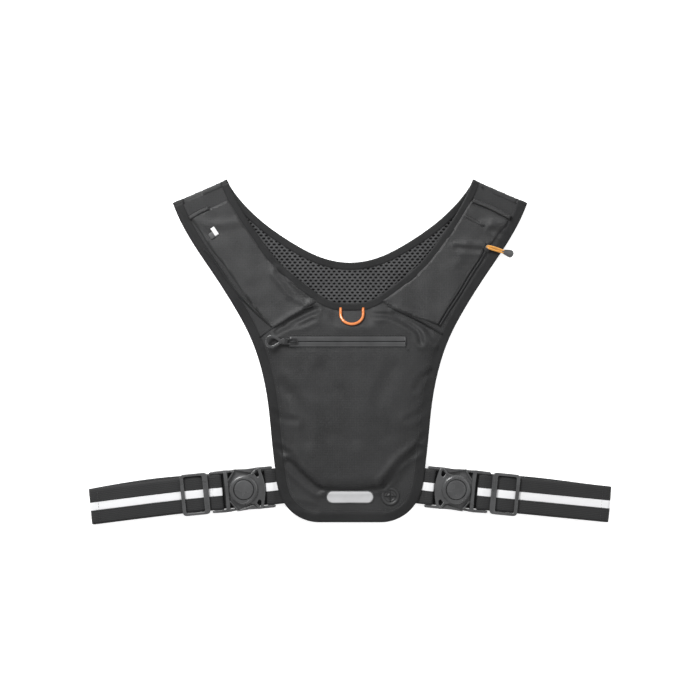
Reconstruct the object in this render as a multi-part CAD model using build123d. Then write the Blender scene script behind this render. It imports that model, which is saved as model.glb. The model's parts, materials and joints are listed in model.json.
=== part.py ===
"""Running vest with a zipped chest pouch, lying flat with its shoulders folded over.

Units are millimetres. +Z is up through the thickness, +Y runs from the hem to the shoulders and +X to the
wearer's left. The origin is the bottom centre of the bounding box, on the surface that the vest lies on.
The back panel lies on that surface, the front panel lies on it, and a strap on each side runs from the
back panel out to a fold and back to a two-part buckle on the front panel.
"""

import os
from math import atan2, cos, degrees, hypot, radians, sin

from build123d import *

# Overall size
HALF_HEIGHT = 184.5          # hem to origin, and shoulder fold to origin
HALF_WIDTH = 280.5           # strap fold to origin

# Layers, from the surface up
SHELL = 0.8                  # face fabric
MESH = 2.2                   # spacer mesh lining
TAPE = 0.4                   # bonded edge tape
BACK_TOP = SHELL + MESH + TAPE
FRONT_BOTTOM = BACK_TOP + 0.4
FRONT_SHELL = FRONT_BOTTOM + MESH
FRONT_TOP = FRONT_SHELL + SHELL
FOLD_RADIUS = (FRONT_TOP + TAPE) / 2

# Panel outline, right half; the left half is its mirror
OUTER_CORNER = (190.3, 157.6)
INNER_CORNER = (133.5, HALF_HEIGHT)
SIDE = [OUTER_CORNER, (170, 117), (147, 82.5), (125, 48), (106, 12), (94.5, -22.5), (87.5, -60),
        (83.5, -100), (80, -130), (75, -155), (64, -172), (49, -181.5), (34, -HALF_HEIGHT)]
BACK_NECK = [(0, 93.8), (32, 99.8), (64.4, 116.6), (89.3, 133.8), (108.6, 151), (123.3, 168),
             INNER_CORNER]
FRONT_NECK = [(0, 50), (19, 52), (39, 63.5), (58, 78), (75, 93), (89, 110), (104, 131), (118, 153),
              (132, 183)]
SIDE_TAPE = 10.5             # width of the tape along the sides and hem
NECK_TAPE = 7.6              # width of the tape along both necklines
FOLD_Y = 148.5               # the front panel lifts about a line across the shoulders here
FOLD_GAP = 0.3

# Chest pouch
POUCH = [(36, 42), (92, 13), (86, -12), (77, -50), (72.5, -90), (68, -122), (50, -141), (32, -149)]
POUCH_RISE = 8.2
POUCH_SLOPE = 16.0           # how far in from its edge the pouch reaches its full height
POUCH_WALL = 1.2
POUCH_TOP = FRONT_TOP + POUCH_RISE
FLANGE = 0.6

# Main zip, across the pouch
ZIP_Y = 9.0
ZIP_LEFT, ZIP_RIGHT = -66.0, 60.0
ZIP_SLOT = 5.4
ZIP_GAP = 1.2                # between the two tapes, where the slider's keel runs
SLIDER_X = -60.0
SLIDER_LENGTH, SLIDER_WIDTH = 9.0, 8.0
ZIP_TAPE, ZIP_COIL = 4.9, 1.8                        # widths of one tape and one coil
PULL_DROOP = 2.5             # degrees that the resting pull leans down the side of the pouch
PULL_LOOP = -23.2            # middle of the pull's moulded loop, from its pin
PULL_THICK, LOOP_THICK = 1.2, 2.6

# Side straps, in a strap frame: u out along the strap, v across it
BUCKLE_AT = (113.5, -149.3)
STRAP_TILT = 5.6             # degrees that the strap slopes away from the belt line
WEB_HALF, WEB = 19.0, 1.4    # webbing half width and thickness
REAR_Z = SHELL               # underside of the rear run
FRONT_RUN_Z = 6.2            # underside of the front run
TAIL_Z = 2.6
BAR_Z, BAR_H = 4.1, 1.9      # the bars that the webbing turns round
REAR_START, WRAP_U, TAIL_END = -43.0, 24.0, 54.0     # ends of the rear run, wrap and tail, along u
STRIPE, STRIPE_HALF = 0.25, 3.9                      # reflective stripe's thickness and half width
SLIDE_U0, SLIDE_U1 = 37.5, 67.5                      # the adjuster's ends
RAIL_HALF, FRAME_HALF = 19.5, 21.8                   # inner and outer faces of the side rails
BAR_CLEAR = 0.3                                      # between the adjuster's bars and the stripe
RING_R, BUTTON_R = 15.7, 10.4
RING_LOW, RING_TOP = 6.5, 12.6
BASE_LOW, BASE_TOP = 3.2, 6.0                        # the strap half's plate
BOSS_R, SLOT_R, BOSS_LOW = 6.0, 6.5, 3.5             # the boss, and the slot that it sits in
BUTTON_LOW, FLANGE_R, FLANGE_TOP = 8.9, 11.6, 10.0   # the button's flange, under the ring
STRAP_FOLD_R = (FRONT_RUN_Z + WEB - REAR_Z) / 2

# Small parts
LOOP_X, LOOP_R, LOOP_WIRE = 2.0, 12.1, 1.4
PILL_AT, PILL_SIZE = (0, -157.4), (50.5, 13.0)
PORT_AT, PORT_R = (43.1, -156.8), 10.0
HEM_INNER, HEM_OUTER = (131.0, 160.5), (171.5, 141.8)    # ends of the shoulder pockets' hems
SIDE_ZIP_TOP, SIDE_ZIP_END = (148.5, 113.0), (93.5, 27.0)
SLIT_TOP, SLIT_END = (-148.0, 107.0), (-83.0, 23.0)


def save(shape, node):
    export_step(shape, f"parts/{node}.step")


def flip(points):
    """The points mirrored to the other side, in reverse order."""
    return [(-x, y) for x, y in reversed(points)]


def shifted(points, inward):
    """The points moved to the left of their direction of travel by inward."""
    out = []
    for i, (x, y) in enumerate(points):
        x0, y0 = points[max(i - 1, 0)]
        x1, y1 = points[min(i + 1, len(points) - 1)]
        run = hypot(x1 - x0, y1 - y0)
        out.append((x - (y1 - y0) / run * inward, y + (x1 - x0) / run * inward))
    return out


def half_neck(points, width=0.0):
    """The right half of a neckline, moved down into the panel by width."""
    moved = shifted(points, -width)
    return [(0, points[0][1] - width)] + moved[1:]


def fold_normal():
    """The unit vector across the right shoulder fold, away from the panel."""
    dx, dy = OUTER_CORNER[0] - INNER_CORNER[0], OUTER_CORNER[1] - INNER_CORNER[1]
    return -dy / hypot(dx, dy), dx / hypot(dx, dy)


def outline(neck, side=SIDE):
    """A closed panel face, from a neckline and a side given for the right half."""
    nx, ny = fold_normal()
    neck_end = (neck[-1][0] - nx * FOLD_RADIUS, neck[-1][1] - ny * FOLD_RADIUS)
    side_top = (side[0][0] - nx * FOLD_RADIUS, side[0][1] - ny * FOLD_RADIUS)
    neck, side = neck[:-1] + [neck_end], [side_top] + side[1:]
    edges = [
        Spline(*(flip(neck)[:-1] + neck)),
        Line(neck[-1], side[0]),
        Spline(*side),
        Line(side[-1], flip(side)[0]),
        Spline(*flip(side)),
        Line(flip(side)[-1], flip(neck)[0]),
    ]
    return make_face(edges)


def slab(face, z0, z1):
    return extrude(Plane.XY.offset(z0) * face, z1 - z0, dir=(0, 0, 1))


def zone(x0, x1, y0, y1, z0=-20, z1=60):
    """A box between the given limits."""
    return Pos((x0 + x1) / 2, (y0 + y1) / 2, (z0 + z1) / 2) * Box(x1 - x0, y1 - y0, z1 - z0)


def polygon(points):
    """A flat face through the points, taken anticlockwise so that it looks up."""
    ahead = points[1:] + points[:1]
    area = sum(x0 * y1 - x1 * y0 for (x0, y0), (x1, y1) in zip(points, ahead))
    return make_face(Polyline(*(points if area > 0 else points[::-1]), close=True))


def front_only(shape):
    return shape & zone(-300, 300, -300, FOLD_Y)


def on_right_strap(shape):
    """A shape from the strap frame, placed on the right side."""
    return Pos(*BUCKLE_AT, 0) * Rot(0, 0, -STRAP_TILT) * shape


def both_sides(shape, name):
    """Saves a right-side shape and its mirror."""
    save(shape, f"right_{name}")
    save(mirror(shape, about=Plane.YZ), f"left_{name}")


def strap_section(profile, half_width=WEB_HALF):
    """A closed profile of (u, z) points or edges, extruded across the strap."""
    return extrude(Plane.XZ * profile, half_width, both=True)


# ---------------------------------------------------------------- panels
def panels():
    back = outline(BACK_NECK)
    front = outline(FRONT_NECK)
    inset_side = shifted(SIDE, -SIDE_TAPE)[:-1] + [(34, -HALF_HEIGHT + SIDE_TAPE)]
    back_inner = outline(half_neck(BACK_NECK, 0.5), inset_side)
    front_inner = outline(half_neck(FRONT_NECK, 0.5), inset_side)
    strap_ways = on_right_strap(zone(-60, 40, -WEB_HALF - 0.3, WEB_HALF + 0.3))
    strap_ways += mirror(strap_ways, about=Plane.YZ)

    save(slab(back, 0, SHELL), "back_shell")
    save(slab(back_inner, SHELL, SHELL + MESH), "back_mesh_lining")
    neck_band = outline(BACK_NECK) - outline(half_neck(BACK_NECK, NECK_TAPE))
    neck_band = slab(neck_band, SHELL + MESH, BACK_TOP) & slab(back_inner, 0, 20)
    save(neck_band, "back_neck_tape")
    edge_band = slab(back, SHELL, SHELL + TAPE) - slab(back_inner, 0, 20) - strap_ways
    save(edge_band & zone(-300, 300, -300, 88), "back_edge_tape")

    save(front_only(slab(front_inner, FRONT_BOTTOM, FRONT_SHELL)), "front_mesh_lining")
    save(front_only(slab(front, FRONT_SHELL, FRONT_TOP)), "front_shell")
    sides = slab(front, FRONT_TOP, FRONT_TOP + TAPE) - slab(outline(FRONT_NECK, inset_side), 0, 20)
    save(front_only(sides), "front_edge_tape")
    neck = slab(outline(FRONT_NECK, inset_side), FRONT_TOP, FRONT_TOP + TAPE)
    neck -= slab(outline(half_neck(FRONT_NECK, NECK_TAPE), SIDE), 0, 20)
    save(front_only(neck), "front_neck_tape")

    yoke = slab(front, FRONT_BOTTOM, FRONT_TOP) & zone(0, 300, FOLD_Y + FOLD_GAP, 300)
    both_sides(yoke, "shoulder_yoke")
    shoulder_folds()


def shoulder_folds():
    """The half round where each strap turns over the shoulder."""
    nx, ny = fold_normal()
    ax, ay = (INNER_CORNER[0] - nx * FOLD_RADIUS, INNER_CORNER[1] - ny * FOLD_RADIUS)
    length = hypot(OUTER_CORNER[0] - INNER_CORNER[0], OUTER_CORNER[1] - INNER_CORNER[1])
    turn = degrees(atan2(OUTER_CORNER[1] - INNER_CORNER[1], OUTER_CORNER[0] - INNER_CORNER[0]))
    ring = Circle(FOLD_RADIUS) - Circle(0.4)
    half = ring & Pos(0, FOLD_RADIUS / 2 + 0.3) * Rectangle(4 * FOLD_RADIUS, FOLD_RADIUS)
    # Drawn in X (up) and Y (away from the panel), then laid along the fold line.
    section = Plane(origin=(0, 0, 0), x_dir=(0, 0, 1), z_dir=(1, 0, 0)) * (Rot(0, 0, 180) * half)
    roll = extrude(section, length, dir=(1, 0, 0))
    roll = Pos(ax, ay, FOLD_RADIUS) * Rot(0, 0, turn) * roll
    both_sides(roll, "shoulder_fold")


# ---------------------------------------------------------------- chest pouch
def pouch_block(inset, z0, z1, height, slope):
    """A block on the pouch outline, drawn in by inset at its foot, with its sides leaning in."""
    inner = shifted(POUCH, -inset)
    face = polygon(flip(inner) + inner)
    lean = degrees(atan2(slope, height))
    return extrude(Plane.XY.offset(z0) * face, z1 - z0, taper=lean)


def pouch():
    below_seam = [(POUCH[0][0], POUCH[0][1]), (93.5, 13), (98, -8), (300, -8), (300, -300)]
    apron = slab(polygon(flip(below_seam) + below_seam), FRONT_TOP, FRONT_TOP + FLANGE)
    inset_side = shifted(SIDE, -SIDE_TAPE - 0.2)[:-1] + [(34, -HALF_HEIGHT + SIDE_TAPE + 0.2)]
    apron &= slab(outline(half_neck(FRONT_NECK, NECK_TAPE + 0.2), inset_side), 0, 20)
    body = apron + pouch_block(0, FRONT_TOP, POUCH_TOP, POUCH_RISE, POUCH_SLOPE)
    body -= pouch_block(1.6, FRONT_TOP, POUCH_TOP - POUCH_WALL, POUCH_RISE, POUCH_SLOPE)
    middle = (ZIP_LEFT + ZIP_RIGHT) / 2
    body -= Pos(middle, ZIP_Y, POUCH_TOP) * Box(ZIP_RIGHT - ZIP_LEFT - 4, ZIP_SLOT, 6)
    body -= Pos(*PORT_AT, FRONT_TOP) * Cylinder(PORT_R - 2.2, 4)
    save(body, "pouch_panel")

    pill = SlotOverall(PILL_SIZE[0], PILL_SIZE[1])
    save(Pos(*PILL_AT, 0) * slab(pill, FRONT_TOP + FLANGE, FRONT_TOP + FLANGE + 0.3), "reflective_pill")

    port = slab(Circle(PORT_R), FRONT_TOP + FLANGE, FRONT_TOP + FLANGE + 1.2)
    port += slab(Circle(PORT_R - 2.5), FRONT_TOP, FRONT_TOP + FLANGE + 0.9)
    port -= Pos(0, 0, FRONT_TOP) * (Box(10, 0.5, 6) + Box(0.5, 10, 6))
    save(Pos(*PORT_AT, 0) * port, "cable_port")


def main_zip():
    middle, length = (ZIP_LEFT + ZIP_RIGHT) / 2, ZIP_RIGHT - ZIP_LEFT
    tapes, coils = [], []
    for side in (-1, 1):
        tape_y = ZIP_Y + side * (ZIP_GAP + ZIP_TAPE) / 2
        tapes.append(Pos(middle, tape_y, POUCH_TOP + 0.3) * Box(length, ZIP_TAPE, 0.6))
        coil_y = ZIP_Y + side * (ZIP_GAP + ZIP_COIL) / 2
        coils.append(Pos(middle, coil_y, POUCH_TOP - 0.6) * Box(length - 6, ZIP_COIL, 1.0))
    save(Compound(tapes), "main_zip_tapes")
    save(Compound(coils), "main_zip_coils")
    stops = [Pos(x, ZIP_Y, POUCH_TOP + 1.1) * Box(1.2, 6, 1.0) for x in (ZIP_LEFT + 0.6, ZIP_RIGHT - 0.6)]
    save(Compound(stops), "main_zip_stops")

    top = POUCH_TOP + 0.9
    slider = Pos(0, 0, top + 0.7) * Box(SLIDER_LENGTH, SLIDER_WIDTH, 1.4)
    slider = fillet(slider.edges().filter_by(Axis.Z), 2.0)
    slider += Pos(0, 0, top - 1.3) * Box(6, 0.8, 2.8)
    slider += Pos(0, 0, top - 3.1) * Box(7, 4.6, 0.9)
    arch = Pos(0, 0, top + 2.8) * Box(6.4, 2.6, 3.0) - Pos(0, 0, top + 2.6) * Box(4.0, 4, 1.7)
    save(Pos(SLIDER_X, ZIP_Y, 0) * (slider + arch), "main_zip_slider")
    main_pull(top + 2.6)


def main_pull(pivot_z):
    """A forked puller on a pin under the slider's arch, with a moulded teardrop loop."""
    pin = Rot(90, 0, 0) * Cylinder(0.7, 6.4)
    arms = [Pos(-4.0, side * 2.6, 0) * Box(8.0, PULL_THICK, PULL_THICK) for side in (-1, 1)]
    neck = Pos(-9.2, 0, 0) * Box(5.4, 6.4, PULL_THICK)
    taper = polygon([(-10.6, 2.1), (-10.6, -2.1), (-20, -6.4), (-20, 6.4)])
    hole_taper = polygon([(-13.8, 0.3), (-13.8, -0.3), (-21, -4), (-21, 4)])
    loop_outer = Pos(PULL_LOOP, 0) * Ellipse(7.4, 6.9) + taper
    loop_inner = Pos(PULL_LOOP, 0) * Ellipse(4.6, 4.2) + hole_taper
    loop = slab(loop_outer - loop_inner, -LOOP_THICK / 2, LOOP_THICK / 2)
    pull = pin + arms[0] + arms[1] + neck + loop
    save(Pos(SLIDER_X, ZIP_Y, pivot_z) * Rot(0, -PULL_DROOP, 0) * pull, "main_zip_pull")


# ---------------------------------------------------------------- shoulders
def shoulder_pockets():
    inner = [p for p in half_neck(FRONT_NECK, NECK_TAPE + 1.6) if 50 < p[1] < 150]
    top = FRONT_TOP + 1.0
    right = [HEM_INNER, HEM_OUTER, (152, 114.5), SIDE_ZIP_TOP, SIDE_ZIP_END, (47, 44)]
    left = [(-HEM_INNER[0], HEM_INNER[1]), (-HEM_OUTER[0], HEM_OUTER[1]), SLIT_TOP, SLIT_END, (-47, 44)]
    for name, side, points in (("right", 1, right), ("left", -1, left)):
        edge = [(side * x, y) for x, y in inner]
        save(front_only(slab(polygon(points + edge), FRONT_TOP, top)), f"{name}_shoulder_pocket")
    # The right pocket's hem stands up as a soft ridge, and the left one's lies flatter.
    run = hypot(HEM_INNER[0] - HEM_OUTER[0], HEM_INNER[1] - HEM_OUTER[1])
    turn = degrees(atan2(HEM_OUTER[1] - HEM_INNER[1], HEM_OUTER[0] - HEM_INNER[0]))
    for side, height in ((1, 2.2), (-1, 1.0)):
        hem = Pos(run / 2, -2.2, top + height / 2) * Box(run - 5, 3.6, height)
        hem = front_only(Pos(*HEM_INNER, 0) * Rot(0, 0, turn) * hem)
        if side == 1:
            save(hem, "right_pocket_hem")
        else:
            save(mirror(hem, about=Plane.YZ), "left_pocket_hem")

    tag = Pos(-147.5, 121.5, top + 0.9) * Rot(0, 0, -56) * Box(10.5, 8.5, 1.8)
    save(tag, "reflective_tag")


def side_zip():
    (x0, y0), (x1, y1) = SIDE_ZIP_TOP, SIDE_ZIP_END
    length, turn = hypot(x1 - x0, y1 - y0), degrees(atan2(y1 - y0, x1 - x0))
    place = Pos(x0, y0, 0) * Rot(0, 0, turn)
    z = FRONT_TOP + 1.0
    save(place * Pos(length / 2, 0.9, FRONT_TOP + 1.3) * Box(length, 1.6, 0.6), "side_zip_coil")
    body = Pos(4.5, 0.9, z + 1.8) * Box(8, 5, 1.6) - Pos(2.8, 0.9, z + 2.1) * Box(1.6, 9, 1.1)
    save(place * body, "side_zip_slider")
    eye = (place * Pos(2.8, 0.9, z + 2.1)).position
    side_pull(eye)


def side_pull(eye):
    """A doubled cord through the slider's eye, with a moulded grip hanging over the strap's edge."""
    out = Vector(0.955, -0.29, -0.11).normalized()
    across = Vector(0.29, 0.955, 0).normalized()
    start = Vector(*eye) + out * 3.4 + Vector(0, 0, 1.3)
    gap = 1.05
    far = start + out * 18
    points = [start + across * gap, far + across * gap, far - across * gap, start - across * gap]
    path = FilletPolyline(*points, radius=gap * 0.96)
    cord = sweep(Plane(origin=points[0], z_dir=out) * Circle(0.8), path=path)
    grip_plane = Plane(origin=start + out * 12.2, x_dir=out, z_dir=out.cross(across))
    grip = extrude(grip_plane * (Pos(6.5, 0) * SlotOverall(13, 7.8)), 2.1, both=True)
    tunnel = extrude(grip_plane * (Pos(3.0, 0) * Rectangle(8.4, 4.2)), 1.0, both=True)
    save(cord, "side_pull_cord")
    save(grip - tunnel, "side_pull_grip")


# ---------------------------------------------------------------- key loop under the neckline
def key_loop():
    """A round cord loop whose two ends are sewn under the front neck tape."""
    lift = degrees(atan2(POUCH_RISE, POUCH_SLOPE))
    leg = 2.0
    arc = CenterArc((0, -leg), LOOP_R, 180, 180)
    path = Line((-LOOP_R, 0), (-LOOP_R, -leg)) + arc + Line((LOOP_R, -leg), (LOOP_R, 0))
    tube = sweep(Plane(origin=(-LOOP_R, 0, 0), z_dir=(0, -1, 0)) * Circle(LOOP_WIRE), path=path)
    tube += Pos(-LOOP_R, 0, 0) * Sphere(LOOP_WIRE)
    tube += Pos(LOOP_R, 0, 0) * Sphere(LOOP_WIRE)
    save(Pos(LOOP_X, 40.2, FRONT_TOP + 2.9) * Rot(-lift, 0, 0) * tube, "key_loop")


# ---------------------------------------------------------------- side straps
def straps():
    fold_u = (HALF_WIDTH - BUCKLE_AT[0] - WEB_HALF * sin(radians(STRAP_TILT))) / cos(radians(STRAP_TILT))
    fold_u -= STRAP_FOLD_R
    rear = zone(REAR_START, fold_u - 0.05, -WEB_HALF, WEB_HALF, REAR_Z, REAR_Z + WEB)
    both_sides(on_right_strap(rear), "strap_rear_run")

    top = FRONT_RUN_Z + WEB
    tail_top = TAIL_Z + WEB - 0.1
    wrap_outer = (top - TAIL_Z) / 2
    run = polygon([(WRAP_U, FRONT_RUN_Z), (fold_u, FRONT_RUN_Z), (fold_u, top), (WRAP_U, top)])
    tail = polygon([(WRAP_U, TAIL_Z), (TAIL_END, TAIL_Z), (TAIL_END, tail_top), (WRAP_U, tail_top)])
    wrap = half_ring(WRAP_U, (top + TAIL_Z) / 2, wrap_outer, wrap_outer - WEB + 0.05, -1)
    fold = half_ring(fold_u, REAR_Z + STRAP_FOLD_R, STRAP_FOLD_R, STRAP_FOLD_R - WEB, 1)
    both_sides(on_right_strap(strap_section(run) + strap_section(tail) + wrap + fold), "strap_webbing")
    stripe = zone(WRAP_U, fold_u, -STRIPE_HALF, STRIPE_HALF, top, top + STRIPE)
    both_sides(on_right_strap(stripe), "strap_stripe")


def half_ring(u, z, outer, inner, way):
    """Half a tube round the strap's width, bulging out along u in the way given."""
    ring = Circle(outer) - Circle(inner)
    half = ring & Pos(way * outer, 0) * Rectangle(2 * outer, 2 * outer)
    return strap_section(Pos(u, z) * half)


def adjuster():
    """A slide adjuster: two bars pass over the webbing and its stripe, and one passes under."""
    bar_low = FRONT_RUN_Z + WEB + STRIPE + BAR_CLEAR
    bar_top = bar_low + 2.0
    frame = zone(SLIDE_U0, SLIDE_U1, -FRAME_HALF, FRAME_HALF, BAR_Z, bar_top)
    frame = fillet(frame.edges().filter_by(Axis.Z), 3.0)
    frame -= zone(SLIDE_U0 - 5, SLIDE_U1 + 5, -RAIL_HALF, RAIL_HALF, BAR_Z - 1, bar_top + 1)
    for u0, u1, z0, z1 in (
        (SLIDE_U0, SLIDE_U0 + 6, bar_low, bar_top),
        (SLIDE_U1 - 4, SLIDE_U1, bar_low, bar_top),
        (SLIDE_U0 + 13.5, SLIDE_U0 + 17.5, BAR_Z, BAR_Z + BAR_H),
    ):
        frame += zone(u0, u1, -RAIL_HALF - 0.1, RAIL_HALF + 0.1, z0, z1)
    both_sides(on_right_strap(frame), "strap_adjuster")


def buckle_base():
    """The strap's half: a plate with a slot for the boss, and a bar for the webbing."""
    edge = [(-13, 15), (-7, 18.6), (6, 20.6), (19.5, 21.4)]
    plate = polygon([(u, -v) for u, v in edge] + edge[::-1])
    base = slab(plate, BASE_LOW, BASE_TOP)
    base -= zone(-20, 0, -SLOT_R, SLOT_R, 0, 20) + Pos(0, 0, 5) * Cylinder(SLOT_R, 10)
    base += zone(17, 19.5, -19.6, 19.6, BASE_TOP - 0.5, 8.4)
    for v0, v1 in ((RAIL_HALF, FRAME_HALF), (-FRAME_HALF, -RAIL_HALF)):
        base += zone(17, 31, v0, v1, BAR_Z, 8.2)
    base += zone(24, 29.5, -20, 20, BAR_Z, BAR_Z + BAR_H)
    for side in (-1, 1):
        hole = polygon([(10.5, side * 18.6), (15.5, side * 19), (14.8, side * 13.8)])
        base -= slab(hole, 0, 20)
    both_sides(on_right_strap(base), "buckle_base")


def buckle_top():
    """The vest's half: a ring over the button, a boss for the slot, a crescent and a webbing bar."""
    disc = slab(Circle(RING_R), RING_LOW, RING_TOP)
    disc = chamfer(disc.edges().sort_by(Axis.Z)[-1], 1.1)
    crescent = make_face([
        ThreePointArc((-18.5, 21.6), (-22.2, 0), (-18.5, -21.6)),
        Line((-18.5, -21.6), (-2, -17.5)),
        Line((-2, -17.5), (-2, 17.5)),
        Line((-2, 17.5), (-18.5, 21.6)),
    ])
    top = disc + slab(crescent, RING_LOW, 10.4)
    for side in (-1, 1):
        hole = polygon([(-13.2, side * 18.2), (-16.4, side * 18.6), (-15.8, side * 12.6)])
        top -= slab(hole, 0, 30)
        rail = [(-16, side * 19.6), (-31, side * 19.6), (-31, side * 21.8), (-16, side * 21.8)]
        top += slab(polygon(rail), 5.0, 9.0)
    top += zone(-30, -25, -20, 20, 5.0, 7.2)
    top += Pos(0, 0, (BOSS_LOW + RING_LOW) / 2) * Cylinder(BOSS_R, RING_LOW - BOSS_LOW + 0.02)
    top -= Pos(0, 0, (7.3 + 10.2) / 2) * Cylinder(12.0, 2.9)
    top -= Pos(0, 0, 12) * Cylinder(BUTTON_R + 0.4, 6)
    both_sides(on_right_strap(top), "buckle_top")

    button = slab(Circle(BUTTON_R), BUTTON_LOW, RING_TOP + 0.2)
    button = chamfer(button.edges().sort_by(Axis.Z)[-1], 0.6)
    button += slab(Circle(FLANGE_R), BUTTON_LOW, FLANGE_TOP)
    both_sides(on_right_strap(button), "buckle_button")
    spring = slab(Circle(9.0) - Circle(7.2), 7.4, BUTTON_LOW - 0.1)
    both_sides(on_right_strap(spring), "button_spring")


def stub():
    """The short webbing loop that holds the buckle's top half to the front panel."""
    low, high = FRONT_BOTTOM + 0.1, FRONT_SHELL - 0.1
    mid = (low + high) / 2
    upper = polygon([(-25, 7.4), (-30.4, 7.4), (-32, mid), (-44, mid),
                     (-44, high), (-33, high), (-31, 8.7), (-25, 8.7)])
    lower = polygon([(-25, 3.5), (-31, 3.5), (-33, low), (-44, low),
                     (-44, mid), (-32, mid), (-30.4, 4.8), (-25, 4.8)])
    wrap = half_ring(-25, 6.1, 2.6, 1.3, 1)
    both_sides(on_right_strap(strap_section(upper) + strap_section(lower) + wrap), "strap_stub")
    stripe = zone(-30.6, -25, -STRIPE_HALF, STRIPE_HALF, 8.7, 8.7 + STRIPE)
    both_sides(on_right_strap(stripe), "stub_stripe")


os.makedirs("parts", exist_ok=True)
panels()
pouch()
main_zip()
shoulder_pockets()
side_zip()
key_loop()
straps()
adjuster()
buckle_base()
buckle_top()
stub()
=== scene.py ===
"""Looks of the running vest: cloth panels, webbing straps, moulded buckles, zips and small trim.

Lengths are in millimetres until a mesh is made. Places come from the boxes and outlines of the CAD nodes.
"""
import json
from math import atan2, cos, degrees, hypot, pi, radians, sin, tau

import bmesh
import bpy
import numpy as np
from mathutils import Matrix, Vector, geometry, noise


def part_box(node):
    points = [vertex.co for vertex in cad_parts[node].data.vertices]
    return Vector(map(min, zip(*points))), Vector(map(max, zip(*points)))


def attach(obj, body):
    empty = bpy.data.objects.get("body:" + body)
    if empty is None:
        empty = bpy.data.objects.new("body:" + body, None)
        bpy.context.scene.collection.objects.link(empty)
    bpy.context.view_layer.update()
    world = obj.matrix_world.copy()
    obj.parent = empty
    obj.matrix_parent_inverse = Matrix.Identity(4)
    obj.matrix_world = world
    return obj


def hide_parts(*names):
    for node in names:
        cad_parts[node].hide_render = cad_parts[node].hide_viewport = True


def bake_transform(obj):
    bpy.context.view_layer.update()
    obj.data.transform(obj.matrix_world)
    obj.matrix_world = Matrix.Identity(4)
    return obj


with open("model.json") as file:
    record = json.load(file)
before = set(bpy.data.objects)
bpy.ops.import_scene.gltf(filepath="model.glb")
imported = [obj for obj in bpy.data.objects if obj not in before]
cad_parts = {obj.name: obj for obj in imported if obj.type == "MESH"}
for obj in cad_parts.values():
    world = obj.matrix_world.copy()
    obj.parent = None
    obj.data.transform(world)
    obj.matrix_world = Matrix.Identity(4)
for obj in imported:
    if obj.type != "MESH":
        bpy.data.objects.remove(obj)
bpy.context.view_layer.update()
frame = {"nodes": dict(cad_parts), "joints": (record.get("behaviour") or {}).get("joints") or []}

MM = 0.001


# ================================================================ measures read from the frame
def corners(node):
    """Lowest and highest corner of a CAD node, in millimetres."""
    low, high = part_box(node)
    return np.array(low) / MM, np.array(high) / MM


def middle(node):
    low, high = corners(node)
    return (low + high) / 2


def rim(node):
    """The outline of a flat CAD plate, anticlockwise seen from above."""
    bm = bmesh.new()
    bm.from_mesh(frame["nodes"][node].data)
    bmesh.ops.remove_doubles(bm, verts=bm.verts, dist=1e-6)
    bm.verts.index_update()
    bm.normal_update()
    top = max(v.co.z for v in bm.verts)
    ahead = {}
    for face in bm.faces:
        if face.normal.z < 0.9 or abs(face.calc_center_median().z - top) > 1e-5:
            continue
        for loop in face.loops:
            if any(abs(f.normal.z) < 0.5 for f in loop.edge.link_faces):
                ahead[loop.vert.index] = loop.link_loop_next.vert.index
    bm.verts.ensure_lookup_table()
    loops = []
    while ahead:
        # A loop with a gap in it is walked from its open end, so that none of it is left behind.
        open_ends = set(ahead) - set(ahead.values())
        here = min(open_ends or ahead)
        walk = []
        while here in ahead:
            walk.append(here)
            here = ahead.pop(here)
        loops.append(walk)
    longest = max(loops, key=len)
    points = [(bm.verts[i].co.x / MM, bm.verts[i].co.y / MM) for i in longest]
    bm.free()
    return points


front_low = corners("front_mesh_lining")[0][2]
front_top = corners("front_shell")[1][2]
pouch_top = corners("main_zip_tapes")[0][2]
fold_y = corners("front_shell")[1][1]
LINING = 2.2                  # thickness of the spacer mesh
CLOTH = 0.8                   # thickness of the face fabric


# ================================================================ plane geometry
def segments(path, closed=False):
    a = np.array(path, float)
    b = np.roll(a, -1, axis=0) if closed else a[1:]
    return (a if closed else a[:-1]), b


def nearest(x, y, path, closed=False):
    """For each point: its distance from the path, how far along that is, and its side (left is +)."""
    best = np.full(np.shape(x), 1e9)
    along, side = np.zeros(np.shape(x)), np.zeros(np.shape(x))
    run = 0.0
    for a, b in zip(*segments(path, closed)):
        d = b - a
        length = hypot(*d)
        if length < 1e-9:
            continue
        t = np.clip(((x - a[0]) * d[0] + (y - a[1]) * d[1]) / length ** 2, 0, 1)
        gap = np.hypot(x - a[0] - t * d[0], y - a[1] - t * d[1])
        hit = gap < best
        best = np.where(hit, gap, best)
        along = np.where(hit, run + t * length, along)
        side = np.where(hit, np.sign((y - a[1]) * d[0] - (x - a[0]) * d[1]), side)
        run += length
    return best, along, side


def inside(x, y, loop):
    """Whether each point is inside a closed loop."""
    odd = np.zeros(np.shape(x), bool)
    for a, b in zip(*segments(loop, True)):
        if a[1] == b[1]:
            continue
        crosses = (a[1] > y) != (b[1] > y)
        odd ^= crosses & (x < (b[0] - a[0]) * (y - a[1]) / (b[1] - a[1]) + a[0])
    return odd


def smooth(path, step=1.5, closed=False):
    """A Catmull-Rom curve through a few points, sampled about every step."""
    p = [np.array(q, float) for q in path]
    n = len(p)
    out = []
    for i in range(n if closed else n - 1):
        p1, p2 = p[i], p[(i + 1) % n]
        p0 = p[i - 1] if closed or i else p1 * 2 - p2
        p3 = p[(i + 2) % n] if closed or i + 2 < n else p2 * 2 - p1
        count = max(2, int(np.linalg.norm(p2 - p1) / step))
        for k in range(count):
            t = k / count
            out.append(0.5 * (2 * p1 + (p2 - p0) * t + (2 * p0 - 5 * p1 + 4 * p2 - p3) * t * t
                              + (3 * p1 - p0 - 3 * p2 + p3) * t ** 3))
    if not closed:
        out.append(p[-1])
    return out


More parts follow.
